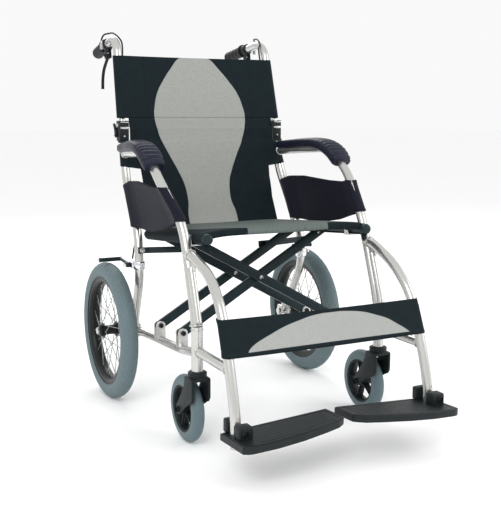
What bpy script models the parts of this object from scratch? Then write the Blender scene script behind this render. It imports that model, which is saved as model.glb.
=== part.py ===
"""Folding transport wheelchair with 14 inch rear wheels and 6 inch casters.

Metres, +Z up.  The chair faces -Y and its right-hand side is at -X.  The
origin is at floor level, under the middle of the chair.
"""
import math

import bmesh
import bpy
from mathutils import Matrix, Vector

# ---------------------------------------------------------------- driving dimensions
AXLE_Y = 0.1997           # the rear axle lies this far behind the middle of the chair
GAP = 0.0003              # free gap between touching pieces
TUBE_R = 0.0111           # 7/8 inch frame tube
REAR_WHEEL_R = 0.175      # 14 inch wheel
REAR_WHEEL_X = 0.289      # half track of the rear wheels
REAR_TYRE_R = 0.022       # tyre section radius
AXLE_R = 0.006
CASTER_R = 0.076          # 6 inch caster
CASTER_X = 0.2365
CASTER_STEM_Y = -0.4435   # measured forward from the rear axle
CASTER_TRAIL = 0.057
CASTER_HALF_WIDTH = 0.014
HOUSING_R = 0.0127
HOUSING_BOTTOM = 0.1755
HOUSING_TOP = 0.275
SEAT_RAIL_X = 0.204
BRACE_PIVOT_X = 0.205     # lower pivots of the cross brace
BRACE_PIVOT_Y = -0.2875
BRACE_PIVOT_Z = 0.221
BRACE_ANGLE = math.radians(29.5)
BRACE_PITCH = 0.142       # distance between the front and the rear pair of bars
BAR_HEIGHT = 0.022
BAR_DEPTH = 0.012
RAKE = math.radians(5.0)  # the seat rails and the fold axis rise forward
RAIL_RISE = 0.2245        # seat rail above the lower pivots, square to the fold axis
BACK_PIVOT = (0.2245, 0.0585, 0.697)
LEAN = math.radians(13.7) # the push handle tubes lean back
GRIP_DROP = math.radians(9.0)
PLATE_PIVOT = (0.2375, -0.633, 0.112)
LINK_PIVOT = (0.232, -0.092, 0.391)
LINK_REACH = 0.139        # fold link, from its bolt to the brace bar
PIN_R = 0.004
SIDES = (("right", -1.0), ("left", 1.0))

# ---------------------------------------------------------------- scene helpers
for old in list(bpy.data.objects):
    bpy.data.objects.remove(old, do_unlink=True)
chair = bpy.data.collections.new("transport_wheelchair")
bpy.context.scene.collection.children.link(chair)
pivots = {}


def material(name, colour, roughness, metallic=0.0):
    """One Principled material."""
    made = bpy.data.materials.new(name)
    made.use_nodes = True
    shader = made.node_tree.nodes["Principled BSDF"]
    shader.inputs["Base Color"].default_value = (*colour, 1.0)
    shader.inputs["Roughness"].default_value = roughness
    shader.inputs["Metallic"].default_value = metallic
    made.diffuse_color = (*colour, 1.0)
    return made


ALUMINIUM = material("champagne_aluminium", (0.58, 0.57, 0.53), 0.32, 0.9)
BLACK_PLASTIC = material("black_plastic", (0.025, 0.035, 0.038), 0.5)
BLACK_COAT = material("black_powder_coat", (0.03, 0.05, 0.055), 0.45)
BLACK_NYLON = material("black_nylon", (0.02, 0.032, 0.038), 0.85)
GREY_MESH = material("grey_mesh", (0.38, 0.39, 0.36), 0.8)
NAVY_FOAM = material("navy_foam", (0.03, 0.03, 0.055), 0.6)
GREY_RUBBER = material("grey_rubber", (0.2, 0.28, 0.3), 0.6)
STEEL = material("bright_steel", (0.7, 0.7, 0.7), 0.25, 1.0)


def at(x, y, z):
    """A point given from the rear axle line, in the chair's frame."""
    return Vector((x, y + AXLE_Y, z))


def fold_point(x, forward, up):
    """A point given square to the fold axis, from the line of the lower brace pivots."""
    origin = at(0.0, BRACE_PIVOT_Y, BRACE_PIVOT_Z)
    axis = Vector((0.0, -math.cos(RAKE), math.sin(RAKE)))
    square = Vector((0.0, math.sin(RAKE), math.cos(RAKE)))
    return origin + Vector((x, 0.0, 0.0)) + axis * forward + square * up


def add_object(name, mesh, finish):
    """Put a finished mesh in the chair's collection."""
    obj = bpy.data.objects.new(name, mesh)
    chair.objects.link(obj)
    mesh.materials.clear()
    mesh.materials.append(finish)
    return obj


def from_bmesh(name, bm, finish):
    bmesh.ops.remove_doubles(bm, verts=bm.verts, dist=0.000001)
    bmesh.ops.recalc_face_normals(bm, faces=bm.faces)
    mesh = bpy.data.meshes.new(name)
    bm.to_mesh(mesh)
    bm.free()
    return add_object(name, mesh, finish)


def bake(obj):
    """Apply an object's modifiers to its mesh."""
    bpy.context.view_layer.update()
    evaluated = obj.evaluated_get(bpy.context.evaluated_depsgraph_get())
    mesh = bpy.data.meshes.new_from_object(evaluated)
    obj.modifiers.clear()
    old = obj.data
    obj.data = mesh
    if isinstance(old, bpy.types.Mesh):
        bpy.data.meshes.remove(old)


def combine(obj, other, operation):
    """Boolean with another solid, which is used up."""
    step = obj.modifiers.new("solid", "BOOLEAN")
    step.operation = operation
    step.solver = "EXACT"
    step.object = other
    bake(obj)
    bpy.data.objects.remove(other, do_unlink=True)
    return obj


def join(obj, *others):
    for other in others:
        combine(obj, other, "UNION")
    return obj


def cut(obj, *others):
    for other in others:
        combine(obj, other, "DIFFERENCE")
    return obj


def smooth_path(points, steps=3):
    """Points on a smooth curve through the given ones (Catmull-Rom)."""
    pts = [Vector(p) for p in points]
    pts = [2 * pts[0] - pts[1]] + pts + [2 * pts[-1] - pts[-2]]
    out = []
    for i in range(1, len(pts) - 2):
        a, b, c, d = pts[i - 1:i + 3]
        for k in range(steps):
            t = k / steps
            out.append(0.5 * (2 * b + (c - a) * t + (2 * a - 5 * b + 4 * c - d) * t * t
                              + (3 * b - a - 3 * c + d) * t ** 3))
    out.append(pts[-2])
    return out


def filleted(points, radius, steps=5):
    """A path of straight runs whose inner corners are rounded."""
    pts = [Vector(p) for p in points]
    out = [pts[0]]
    for a, b, c in zip(pts, pts[1:], pts[2:]):
        into, away = (a - b).normalized(), (c - b).normalized()
        half = into.angle(away) / 2
        start, end = b + into * radius / math.tan(half), b + away * radius / math.tan(half)
        centre = b + (into + away).normalized() * radius / math.sin(half)
        first, last = (start - centre).normalized(), (end - centre).normalized()
        bend = (start - centre).length
        for k in range(steps + 1):
            out.append(centre + first.slerp(last, k / steps) * bend)
    out.append(pts[-1])
    return out


def tube(name, points, radius, finish, resolution=4):
    """A round bar or tube along a path, closed by flat caps."""
    curve = bpy.data.curves.new(name, "CURVE")
    curve.dimensions = "3D"
    curve.bevel_depth = radius
    curve.bevel_resolution = resolution
    curve.use_fill_caps = True
    spline = curve.splines.new("POLY")
    spline.points.add(len(points) - 1)
    for target, point in zip(spline.points, points):
        target.co = (*point, 1.0)
    guide = bpy.data.objects.new(name + "_guide", curve)
    bpy.context.scene.collection.objects.link(guide)
    bpy.context.view_layer.update()
    mesh = bpy.data.meshes.new_from_object(guide.evaluated_get(bpy.context.evaluated_depsgraph_get()))
    bpy.data.objects.remove(guide, do_unlink=True)
    bm = bmesh.new()
    bm.from_mesh(mesh)
    bpy.data.meshes.remove(mesh)
    return from_bmesh(name, bm, finish)


def rod(name, start, end, radius, finish, sides=12):
    """A straight cylinder between two points."""
    start, end = Vector(start), Vector(end)
    bm = bmesh.new()
    turn = (end - start).to_track_quat("Z", "Y").to_matrix().to_4x4()
    place = Matrix.Translation((start + end) / 2) @ turn
    bmesh.ops.create_cone(bm, cap_ends=True, segments=sides, radius1=radius, radius2=radius,
                          depth=(end - start).length, matrix=place)
    return from_bmesh(name, bm, finish)


def box(name, low, high, finish):
    """A box between two corners."""
    low, high = Vector(low), Vector(high)
    bm = bmesh.new()
    size = Matrix.Diagonal((*(high - low), 1.0))
    bmesh.ops.create_cube(bm, size=1.0, matrix=Matrix.Translation((low + high) / 2) @ size)
    return from_bmesh(name, bm, finish)


def slab(name, outline, push, finish):
    """A flat outline of 3D points pushed out into a solid."""
    bm = bmesh.new()
    face = bm.faces.new([bm.verts.new(p) for p in outline])
    grown = bmesh.ops.extrude_face_region(bm, geom=[face])
    moved = [v for v in grown["geom"] if isinstance(v, bmesh.types.BMVert)]
    bmesh.ops.translate(bm, verts=moved, vec=Vector(push))
    return from_bmesh(name, bm, finish)


def turned(name, profile, centre, sides, finish):
    """A solid turned about the X axis from (radius, x) points of a closed profile."""
    bm = bmesh.new()
    ring = [bm.verts.new((x, 0.0, radius)) for radius, x in profile]
    edges = [bm.edges.new((a, b)) for a, b in zip(ring, ring[1:] + ring[:1])]
    bmesh.ops.spin(bm, geom=ring + edges, cent=(0, 0, 0), axis=(1, 0, 0), steps=sides,
                   angle=2 * math.pi, use_merge=True)
    bmesh.ops.translate(bm, verts=bm.verts, vec=Vector(centre))
    return from_bmesh(name, bm, finish)


def sheet(name, rows, thickness, finish):
    """A thin solid over a grid of points, thickened about its middle."""
    bm = bmesh.new()
    grid = [[bm.verts.new(p) for p in row] for row in rows]
    for lower, upper in zip(grid, grid[1:]):
        for a, b, c, d in zip(lower, lower[1:], upper[1:], upper):
            bm.faces.new((a, b, c, d))
    obj = from_bmesh(name, bm, finish)
    wall = obj.modifiers.new("wall", "SOLIDIFY")
    wall.thickness = thickness
    wall.offset = 0.0
    bake(obj)
    return obj


def pivot(name, place):
    """An empty on a moving body's axis."""
    empty = bpy.data.objects.new("pivot_" + name, None)
    empty.location = place
    empty.empty_display_size = 0.02
    chair.objects.link(empty)
    pivots[name] = empty


def attach(obj, body):
    """Hang a piece on its body's pivot, with its origin there."""
    empty = pivots[body]
    obj.data.transform(Matrix.Translation(-empty.location))
    obj.parent = empty
    obj.data.shade_smooth()
    obj.data.set_sharp_from_angle(angle=math.radians(35))


def mirrored(points, side):
    return [at(side * x, y, z) for x, y, z in points]


# ---------------------------------------------------------------- paths of the side frame
REAR_UPRIGHT = ((0.225, 0.0465, 0.6540), (0.225, 0.040, 0.612), (0.227, 0.031, 0.588),
                (0.229, 0.014, 0.552), (0.230, -0.022, 0.500), (0.230, -0.051, 0.450),
                (0.232, -0.069, 0.415), (0.2335, -0.078, 0.380), (0.234, -0.080, 0.350),
                (0.2335, -0.077, 0.320), (0.232, -0.066, 0.290), (0.2295, -0.045, 0.250),
                (0.227, -0.022, 0.205), (0.225, -0.004, 0.175))
FRONT_UPRIGHT = ((0.2252, 0.0415, 0.6265), (0.236, -0.030, 0.630), (0.2455, -0.110, 0.635),
                 (0.2505, -0.172, 0.6365), (0.2525, -0.215, 0.622), (0.253, -0.245, 0.600),
                 (0.2525, -0.272, 0.578), (0.247, -0.305, 0.546), (0.2375, -0.347, 0.502),
                 (0.2345, -0.372, 0.462), (0.2345, -0.389, 0.420), (0.2355, -0.410, 0.360),
                 (0.236, -0.426, 0.315), (0.2365, -0.4375, 0.2755))
LEG = ((0.2343, -0.3885, 0.4245), (0.233, -0.417, 0.421), (0.231, -0.450, 0.4095),
       (0.230, -0.480, 0.3975), (0.2305, -0.510, 0.380), (0.232, -0.535, 0.358),
       (0.2335, -0.556, 0.335), (0.235, -0.5745, 0.303), (0.236, -0.594, 0.253),
       (0.237, -0.612, 0.200), (0.2372, -0.625, 0.155), (0.2375, -0.633, 0.115),
       (0.2375, -0.633, 0.067))
RAIL = ((0.216, -0.014, 0.1655), (0.2075, -0.045, 0.166), (0.205, -0.090, 0.168),
        (0.205, -0.180, 0.174), (0.205, -0.270, 0.180), (0.208, -0.305, 0.185),
        (0.217, -0.350, 0.195), (0.226, -0.400, 0.206), (0.232, -0.440, 0.214))
STIFFENER = ((0.2355, -0.4105, 0.398), (0.236, -0.434, 0.335), (0.2365, -0.452, 0.283))


# ---------------------------------------------------------------- the folding frame
def seat_rail(name, x):
    """Round rail under the seat edge, with a domed front cap."""
    rail = rod(name, fold_point(x, -0.203, RAIL_RISE), fold_point(x, 0.155, RAIL_RISE), TUBE_R, BLACK_COAT)
    cap = rod(name + "_cap", fold_point(x, 0.150, RAIL_RISE), fold_point(x, 0.168, RAIL_RISE),
              TUBE_R + 0.0015, BLACK_COAT)
    return join(rail, cap)


def brace_bar(name, side, forward, layer):
    """One flat-sided bar, from the lower pivot on one side to the rail on the other."""
    along = Vector((side * math.cos(BRACE_ANGLE), math.sin(BRACE_ANGLE)))
    across = Vector((-along.y, along.x)) * side
    foot = Vector((-side * BRACE_PIVOT_X, 0.0))
    lower = (SEAT_RAIL_X + BRACE_PIVOT_X - 0.005) / math.cos(BRACE_ANGLE)
    upper = (SEAT_RAIL_X + BRACE_PIVOT_X - 0.019) / math.cos(BRACE_ANGLE)
    outline = []
    for k in range(7):
        turn = math.pi * (0.5 + k / 6)
        corner = foot + (along * math.cos(turn) + across * math.sin(turn)) * BAR_HEIGHT / 2
        outline.append(fold_point(corner.x, forward + layer, corner.y))
    for offset, length in ((-0.5, lower), (0.5, upper)):
        corner = foot + along * length + across * offset * BAR_HEIGHT
        outline.append(fold_point(corner.x, forward + layer, corner.y))
    push = fold_point(0, BAR_DEPTH, 0) - fold_point(0, 0, 0)
    return slab(name, outline, push, BLACK_COAT)


def brace(name, side, layer, pinned):
    """Two bars and the seat rail they carry; the front half has the pins' holes."""
    body = seat_rail(name, side * SEAT_RAIL_X)
    centre_up = BRACE_PIVOT_X * math.tan(BRACE_ANGLE)
    for forward in (0.0, -BRACE_PITCH):
        bar = brace_bar(name + "_bar", side, forward, layer)
        join(body, bar)
    for forward in (0.0, -BRACE_PITCH):
        foot = -side * BRACE_PIVOT_X
        hole = rod("hole", fold_point(foot, forward + layer - 0.005, 0.0),
                   fold_point(foot, forward + layer + 0.02, 0.0), PIN_R + GAP, BLACK_COAT)
        cut(body, hole)
        if pinned:
            pin = rod("pin", fold_point(0, forward + layer + 0.004, centre_up),
                      fold_point(0, forward + layer + 2 * BAR_DEPTH + 0.003, centre_up), PIN_R, BLACK_COAT)
            join(body, pin)
        else:
            hole = rod("hole", fold_point(0, forward + layer - 0.005, centre_up),
                       fold_point(0, forward + layer + 0.02, centre_up), PIN_R + GAP, BLACK_COAT)
            cut(body, hole)
    return body


def build_braces():
    """The two halves of the scissor brace; each lifts the rail on its far side."""
    brace_a = brace("brace_to_left_rail", 1.0, -GAP - BAR_DEPTH, True)
    attach(brace_a, "brace_a")
    brace_b = brace("brace_to_right_rail", -1.0, GAP, False)
    attach(brace_b, "brace_b")


def fold_link(side_name, side):
    """Dog-legged flat bar that keeps the side frame upright while it folds."""
    up = Vector((0, math.sin(RAKE), math.cos(RAKE)))
    origin = at(side * LINK_PIVOT[0], LINK_PIVOT[1], LINK_PIVOT[2])
    axis = Vector((0, -math.cos(RAKE), math.sin(RAKE)))
    forward = fold_point(0, -BRACE_PITCH - BAR_DEPTH if side > 0 else -BRACE_PITCH, 0)
    shift = (forward - origin).dot(axis) - 0.0048
    inward = Vector((-side, 0, -0.02)).normalized()
    plan = ((-0.010, 0.0), (0.022, 0.0), (0.088, shift), (LINK_REACH + 0.009, shift),
            (LINK_REACH + 0.009, shift + 0.004), (0.086, shift + 0.004), (0.020, 0.004), (-0.010, 0.004))
    outline = [origin + inward * a + axis * b - up * 0.008 for a, b in plan]
    link = slab("fold_link_" + side_name, outline, up * 0.016, BLACK_COAT)
    hole = rod("hole", origin - axis * 0.02, origin + axis * 0.02, PIN_R + GAP, BLACK_COAT)
    cut(link, hole)
    attach(link, "fold_link_" + side_name)


# ---------------------------------------------------------------- one side frame
def rear_upright(side_name, side, body):
    """Back tube from the hinge block down to the axle receiver."""
    name = "rear_upright_" + side_name
    upright = tube(name, smooth_path(mirrored(REAR_UPRIGHT, side), 2), TUBE_R, ALUMINIUM)
    low = at(side * 0.2120, -0.0155, 0.1575)
    high = at(side * 0.2390, 0.0155, 0.1925)
    receiver = box("receiver", [min(a, b) for a, b in zip(low, high)],
                   [max(a, b) for a, b in zip(low, high)], ALUMINIUM)
    join(upright, receiver)
    axis = Vector((0, -math.cos(RAKE), math.sin(RAKE)))
    bolt = at(side * LINK_PIVOT[0], LINK_PIVOT[1], LINK_PIVOT[2])
    join(upright, rod("pin", bolt - axis * 0.010, bolt + axis * 0.007, PIN_R, ALUMINIUM))
    bore = rod("bore", at(side * 0.20, 0, REAR_WHEEL_R), at(side * 0.26, 0, REAR_WHEEL_R),
               AXLE_R + GAP, ALUMINIUM)
    cut(upright, bore)
    attach(upright, body)


def front_upright(side_name, side, body):
    """One bent tube: armrest, then down to the caster housing."""
    name = "armrest_upright_" + side_name
    upright = tube(name, smooth_path(mirrored(FRONT_UPRIGHT, side), 3), TUBE_R, ALUMINIUM)
    cope = tube("cope", smooth_path(mirrored(REAR_UPRIGHT, side), 2), TUBE_R + GAP, ALUMINIUM)
    foot = box("foot", at(side * 0.2365 - 0.03, -0.47, 0.25), at(side * 0.2365 + 0.03, -0.40, HOUSING_TOP + GAP),
               ALUMINIUM)
    cut(upright, cope, foot)
    keep_largest(upright)
    attach(upright, body)


def caster_housing(side_name, side, body):
    """Vertical sleeve with the caster bearings."""
    stem_y = CASTER_STEM_Y
    housing = rod("caster_housing_" + side_name, at(side * CASTER_X, stem_y, HOUSING_BOTTOM),
                  at(side * CASTER_X, stem_y, HOUSING_TOP), HOUSING_R, ALUMINIUM, 16)
    bore = rod("bore", at(side * CASTER_X, stem_y, HOUSING_BOTTOM - 0.01),
               at(side * CASTER_X, stem_y, HOUSING_BOTTOM + 0.040), 0.0073, ALUMINIUM)
    cut(housing, bore)
    attach(housing, body)


def leg_tube(side_name, side, body):
    """Front leg with its strut back to the caster housing, and the footplate pin."""
    leg = tube("leg_tube_" + side_name, smooth_path(mirrored(LEG, side), 3), TUBE_R, ALUMINIUM)
    strut = rod("strut", at(side * CASTER_X, CASTER_STEM_Y, 0.2205), at(side * 0.2365, -0.604, 0.2205),
                0.0105, ALUMINIUM)
    join(leg, strut)
    sleeve = rod("sleeve", at(side * CASTER_X, CASTER_STEM_Y, 0.15), at(side * CASTER_X, CASTER_STEM_Y, 0.30),
                 HOUSING_R + GAP, ALUMINIUM, 16)
    cope = tube("cope", smooth_path(mirrored(FRONT_UPRIGHT, side), 3), TUBE_R + GAP, ALUMINIUM)
    cut(leg, sleeve, cope)
    x, y, z = PLATE_PIVOT
    join(leg, rod("pin", at(side * x, y - 0.034, z), at(side * x, y + 0.034, z), PIN_R, ALUMINIUM))
    keep_largest(leg)
    attach(leg, body)


def upright_stiffener(side_name, side, body):
    """Short tube welded down the front of the upright under the leg."""
    piece = tube("upright_stiffener_" + side_name, smooth_path(mirrored(STIFFENER, side), 4), 0.008, ALUMINIUM)
    cope = tube("cope", smooth_path(mirrored(FRONT_UPRIGHT, side), 3), TUBE_R + GAP, ALUMINIUM)
    leg = tube("cope", smooth_path(mirrored(LEG, side), 3), TUBE_R + GAP, ALUMINIUM)
    cut(piece, cope, leg)
    attach(piece, body)


def bottom_rail(side_name, side, body):
    """Lower rail with the two forks that hold the brace."""
    rail = tube("bottom_rail_" + side_name, smooth_path(mirrored(RAIL, side), 2), 0.0105, ALUMINIUM)
    layer = -GAP - BAR_DEPTH if side < 0 else GAP
    for forward in (0.0, -BRACE_PITCH):
        for face in (layer + BAR_DEPTH + GAP, layer - GAP - 0.003):
            outline = []
            for x, up in ((-0.012, -0.036), (0.012, -0.036), (0.012, 0.004), (0.006, 0.011),
                          (-0.006, 0.011), (-0.012, 0.004)):
                outline.append(fold_point(side * BRACE_PIVOT_X + x, forward + face, up))
            push = fold_point(0, 0.003, 0) - fold_point(0, 0, 0)
            join(rail, slab("cheek", outline, push, ALUMINIUM))
        pin = rod("pin", fold_point(side * BRACE_PIVOT_X, forward + layer - 0.005, 0),
                  fold_point(side * BRACE_PIVOT_X, forward + layer + BAR_DEPTH + 0.005, 0), PIN_R, ALUMINIUM)
        join(rail, pin)
    sleeve = rod("sleeve", at(side * CASTER_X, CASTER_STEM_Y, 0.15), at(side * CASTER_X, CASTER_STEM_Y, 0.30),
                 HOUSING_R + GAP, ALUMINIUM, 16)
    low = at(side * 0.1900, -0.0155 - GAP, 0.1500)
    high = at(side * 0.2600, 0.0300, 0.2000)
    block = box("block", [min(a, b) for a, b in zip(low, high)], [max(a, b) for a, b in zip(low, high)],
                ALUMINIUM)
    back = tube("back", smooth_path(mirrored(REAR_UPRIGHT, side), 2), TUBE_R + GAP, ALUMINIUM)
    cut(rail, sleeve, block, back)
    keep_largest(rail)
    attach(rail, body)


def keep_largest(obj):
    """Drop offcuts that a cope leaves beyond the joint."""
    bm = bmesh.new()
    bm.from_mesh(obj.data)
    seen = set()
    islands = []
    for first in bm.verts:
        if first in seen:
            continue
        island, queue = set(), [first]
        while queue:
            vert = queue.pop()
            if vert not in island:
                island.add(vert)
                queue.extend(edge.other_vert(vert) for edge in vert.link_edges)
        seen |= island
        islands.append(island)
    islands.sort(key=len)
    offcuts = [vert for island in islands[:-1] for vert in island]
    bmesh.ops.delete(bm, geom=offcuts, context="VERTS")
    bm.to_mesh(obj.data)
    bm.free()


def rail_saddle(side_name, side, body):
    """Bent steel cradle that the seat rail drops into."""
    centre = fold_point(side * SEAT_RAIL_X, 0.100, RAIL_RISE)
    plan = ((0.0145, 0.010), (0.0182, 0.010), (0.0182, -0.0145), (-0.0145, -0.0145), (-0.0145, -0.003),
            (-0.0120, -0.003), (-0.0120, -0.0120), (0.0145, -0.0120))
    outline = [centre + Vector((side * a, -0.008, b)) for a, b in plan]
    saddle = slab("rail_saddle_" + side_name, outline, (0, 0.016, 0), STEEL)
    attach(saddle, body)


def armrest_pad(side_name, side, body):
    """Moulded pad along the armrest tube, dropping over its front bend."""
    stations = ((0.229, 0.051, 0.6395, 0.0135, 0.011), (0.236, -0.020, 0.6450, 0.0160, 0.013),
                (0.2445, -0.080, 0.6490, 0.0215, 0.014), (0.2490, -0.135, 0.6500, 0.0255, 0.015),
                (0.2515, -0.180, 0.6440, 0.0275, 0.016), (0.2530, -0.215, 0.6300, 0.0280, 0.0165),
                (0.2535, -0.243, 0.6090, 0.0255, 0.0155))
    centres = [at(side * x, y, z) for x, y, z, _, _ in stations]
    bm = bmesh.new()
    rings = []
    for i, (_, _, _, wide, high) in enumerate(stations):
        ahead = centres[min(i + 1, len(centres) - 1)] - centres[max(i - 1, 0)]
        across = Vector((1, 0, 0))
        up = across.cross(ahead).normalized()
        up = up if up.z > 0 else -up
        ring = []
        for k in range(12):
            turn = 2 * math.pi * k / 12
            a, b = math.cos(turn), math.sin(turn)
            square = (abs(a) ** 3 + abs(b) ** 3) ** (-1 / 3)
            ring.append(bm.verts.new(centres[i] + across * a * square * wide + up * b * square * high))
        rings.append(ring)
    for lower, upper in zip(rings, rings[1:]):
        for k in range(12):
            bm.faces.new((lower[k], lower[(k + 1) % 12], upper[(k + 1) % 12], upper[k]))
    bm.faces.new(rings[0])
    bm.faces.new(rings[-1][::-1])
    pad = from_bmesh("armrest_pad_" + side_name, bm, NAVY_FOAM)
    tube_cut = tube("cut", smooth_path(mirrored(FRONT_UPRIGHT, side), 3), TUBE_R + GAP, ALUMINIUM)
    back_cut = tube("cut", smooth_path(mirrored(REAR_UPRIGHT, side), 2), TUBE_R + GAP, ALUMINIUM)
    cut(pad, tube_cut, back_cut)
    keep_largest(pad)
    attach(pad, body)


def side_panel(side_name, side, body):
    """Fabric skirt guard wrapped round both tubes."""
    back = ((0.2293, 0.006, 0.540), (0.2298, -0.0115, 0.515), (0.230, -0.031, 0.485), (0.2302, -0.052, 0.448))
    front = ((0.2515, -0.290, 0.562), (0.246, -0.311, 0.541), (0.240, -0.337, 0.516), (0.2365, -0.357, 0.494))
    columns = (-0.056, 0.0, 0.10, 0.30, 0.5, 0.70, 0.90, 1.0, 1.056)
    half = (0.0128, 0.0134, 0.010, 0.003, 0.003, 0.003, 0.010, 0.0134, 0.0128)
    crown = (-0.002, 0.008, 0.017, 0.016, 0.009, 0.002, -0.002, 0.002, 0.000)
    sag = (0.000, -0.002, -0.006, -0.016, -0.020, -0.018, -0.008, -0.002, 0.000)
    bm = bmesh.new()
    layers = []
    for face in (-1, 1):
        grid = []
        for row, (b, f) in enumerate(zip(back, front)):
            line = []
            for u, wide, top, low in zip(columns, half, crown, sag):
                x, y, z = (b[i] + (f[i] - b[i]) * u for i in range(3))
                z += top if row == 0 else low if row == 3 else 0.0
                line.append(bm.verts.new(at(side * (x + face * wide), y, z)))
            grid.append(line)
        layers.append(grid)
    for grid in layers:
        for lower, upper in zip(grid, grid[1:]):
            for a, b, c, d in zip(lower, lower[1:], upper[1:], upper):
                bm.faces.new((a, b, c, d))
    inner, outer = layers
    for i in range(len(columns) - 1):
        for row in (0, -1):
            bm.faces.new((inner[row][i], inner[row][i + 1], outer[row][i + 1], outer[row][i]))
    for j in range(3):
        for end in (0, -1):
            bm.faces.new((inner[j][end], inner[j + 1][end], outer[j + 1][end], outer[j][end]))
    bmesh.ops.triangulate(bm, faces=bm.faces)
    panel = from_bmesh("side_panel_" + side_name, bm, NAVY_FOAM)
    rear = tube("cut", smooth_path(mirrored(REAR_UPRIGHT, side), 2), TUBE_R + GAP, ALUMINIUM)
    fore = tube("cut", smooth_path(mirrored(FRONT_UPRIGHT, side), 3), TUBE_R + GAP, ALUMINIUM)
    cut(panel, rear, fore)
    keep_largest(panel)
    attach(panel, body)


def hinge_block(side_name, side, body):
    """Black fork on top of the rear upright that holds the folding back tube."""
    x, y, z = BACK_PIVOT
    lower = [at(side * x + a * 0.0125, y + b, c) for a, b, c in ((-1, -0.0165, 0.657), (1, -0.0165, 0.657),
                                                               (1, 0.0085, 0.657), (-1, 0.0085, 0.657))]
    block = slab("hinge_block_" + side_name, lower, (0, 0.0035, 0.0525), BLACK_PLASTIC)
    slot = box("slot", at(side * x - 0.0065, y - 0.03, z - 0.0165), at(side * x + 0.0065, y + 0.03, z + 0.03),
               BLACK_PLASTIC)
    cut(block, slot)
    join(block, rod("bolt", at(side * x - 0.0135, y, z), at(side * x + 0.0135, y, z), PIN_R, BLACK_PLASTIC))
    catch = pivots["release_lever_" + side_name].location
    join(block, rod("pin", (side * (x + 0.0100), catch.y, catch.z), (side * (x + 0.0190), catch.y, catch.z), 0.0018,
                    BLACK_PLASTIC))
    attach(block, body)


def brake_bracket(side_name, side, body):
    """Clamp on the rear upright that carries the brake arm."""
    centre = at(side * 0.234, -0.080, 0.352)
    clamp = rod("brake_bracket_" + side_name, centre - Vector((0, 0.001, 0.010)), centre + Vector((0, -0.001, 0.010)),
                0.0150, STEEL, 16)
    arm = box("arm", at(min(side * 0.240, side * 0.252), -0.078, 0.344),
              at(max(side * 0.240, side * 0.252), -0.052, 0.360), STEEL)
    join(clamp, arm)
    cut(clamp, tube("bore", smooth_path(mirrored(REAR_UPRIGHT, side), 2), TUBE_R + GAP, STEEL))
    pin = rod("pin", at(side * 0.250, -0.060, 0.352), at(side * 0.264, -0.060, 0.352), 0.0035, STEEL)
    join(clamp, pin)
    attach(clamp, body)


def brake_arm(side_name, side):
    """Arm with the cross bar that presses on the tyre."""
    low, high = sorted((side * 0.2525, side * 0.2625))
    arm = box("brake_arm_" + side_name, at(low, -0.068, 0.3455), at(high, -0.052, 0.3585), BLACK_PLASTIC)
    beam = slab("beam", [at(low, -0.056, 0.3515), at(low, -0.056, 0.3585), at(low, 0.006, 0.3640),
                         at(low, 0.006, 0.3560)], (high - low, 0, 0), BLACK_PLASTIC)
    bar = rod("bar", at(side * 0.2535, 0.0, 0.3585), at(side * 0.313, 0.0, 0.3585), 0.0055, BLACK_PLASTIC)
    join(arm, beam, bar)
    cut(arm, rod("hole", at(side * 0.24, -0.060, 0.352), at(side * 0.28, -0.060, 0.352), 0.0035 + GAP, STEEL))
    attach(arm, "brake_arm_" + side_name)


def rear_axle(side_name, side, body):
    """Bolt that carries the rear wheel."""
    axle = rod("rear_axle_" + side_name, at(side * 0.2065, 0, REAR_WHEEL_R), at(side * 0.3205, 0, REAR_WHEEL_R),
               AXLE_R, STEEL)
    for start, end in ((0.2065, 0.2115), (0.3182, 0.3235)):
        join(axle, rod("head", at(side * start, 0, REAR_WHEEL_R), at(side * end, 0, REAR_WHEEL_R), 0.009, STEEL, 6))
    attach(axle, body)


def rear_wheel(side_name, side):
    """Tyre, and rim with spokes and hub in one piece."""
    body = "rear_wheel_" + side_name
    centre = at(side * REAR_WHEEL_X, 0, REAR_WHEEL_R)
    section = REAR_WHEEL_R - REAR_TYRE_R
    seat_r = 0.1388
    open_angle = math.acos((seat_r - section) / REAR_TYRE_R)
    profile = []
    for k in range(11):
        turn = -open_angle + 2 * open_angle * k / 10
        profile.append((section + REAR_TYRE_R * math.cos(turn), REAR_TYRE_R * math.sin(turn)))
    attach(turned("rear_tyre_" + side_name, profile, centre, 40, GREY_RUBBER), body)
    rim_profile = ((seat_r - GAP, -0.0165), (seat_r - GAP, 0.0165), (0.1265, 0.0150), (0.1215, 0.0085),
                   (0.1215, -0.0085), (0.1265, -0.0150))
    rim = turned("rear_rim_" + side_name, rim_profile, centre, 40, BLACK_PLASTIC)
    hub_profile = ((0.0145, -0.0400), (0.0145, 0.0280), (AXLE_R + GAP, 0.0280), (AXLE_R + GAP, -0.0400))
    hub_profile = [(r, side * x) for r, x in hub_profile]
    hub = turned("hub", hub_profile, centre, 16, BLACK_PLASTIC)
    for k in range(12):
        turn = 2 * math.pi * k / 12
        lean = math.radians(24) * (1 if k % 2 else -1)
        flange = side * (0.020 if k % 2 else -0.020)
        inner = centre + Vector((flange, 0.0115 * math.sin(turn), 0.0115 * math.cos(turn)))
        outer = centre + Vector((0, 0.124 * math.sin(turn + lean), 0.124 * math.cos(turn + lean)))
        join(hub, rod("spoke", inner, outer, 0.0016, STEEL, 5))
    join(rim, hub)
    attach(rim, body)


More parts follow.
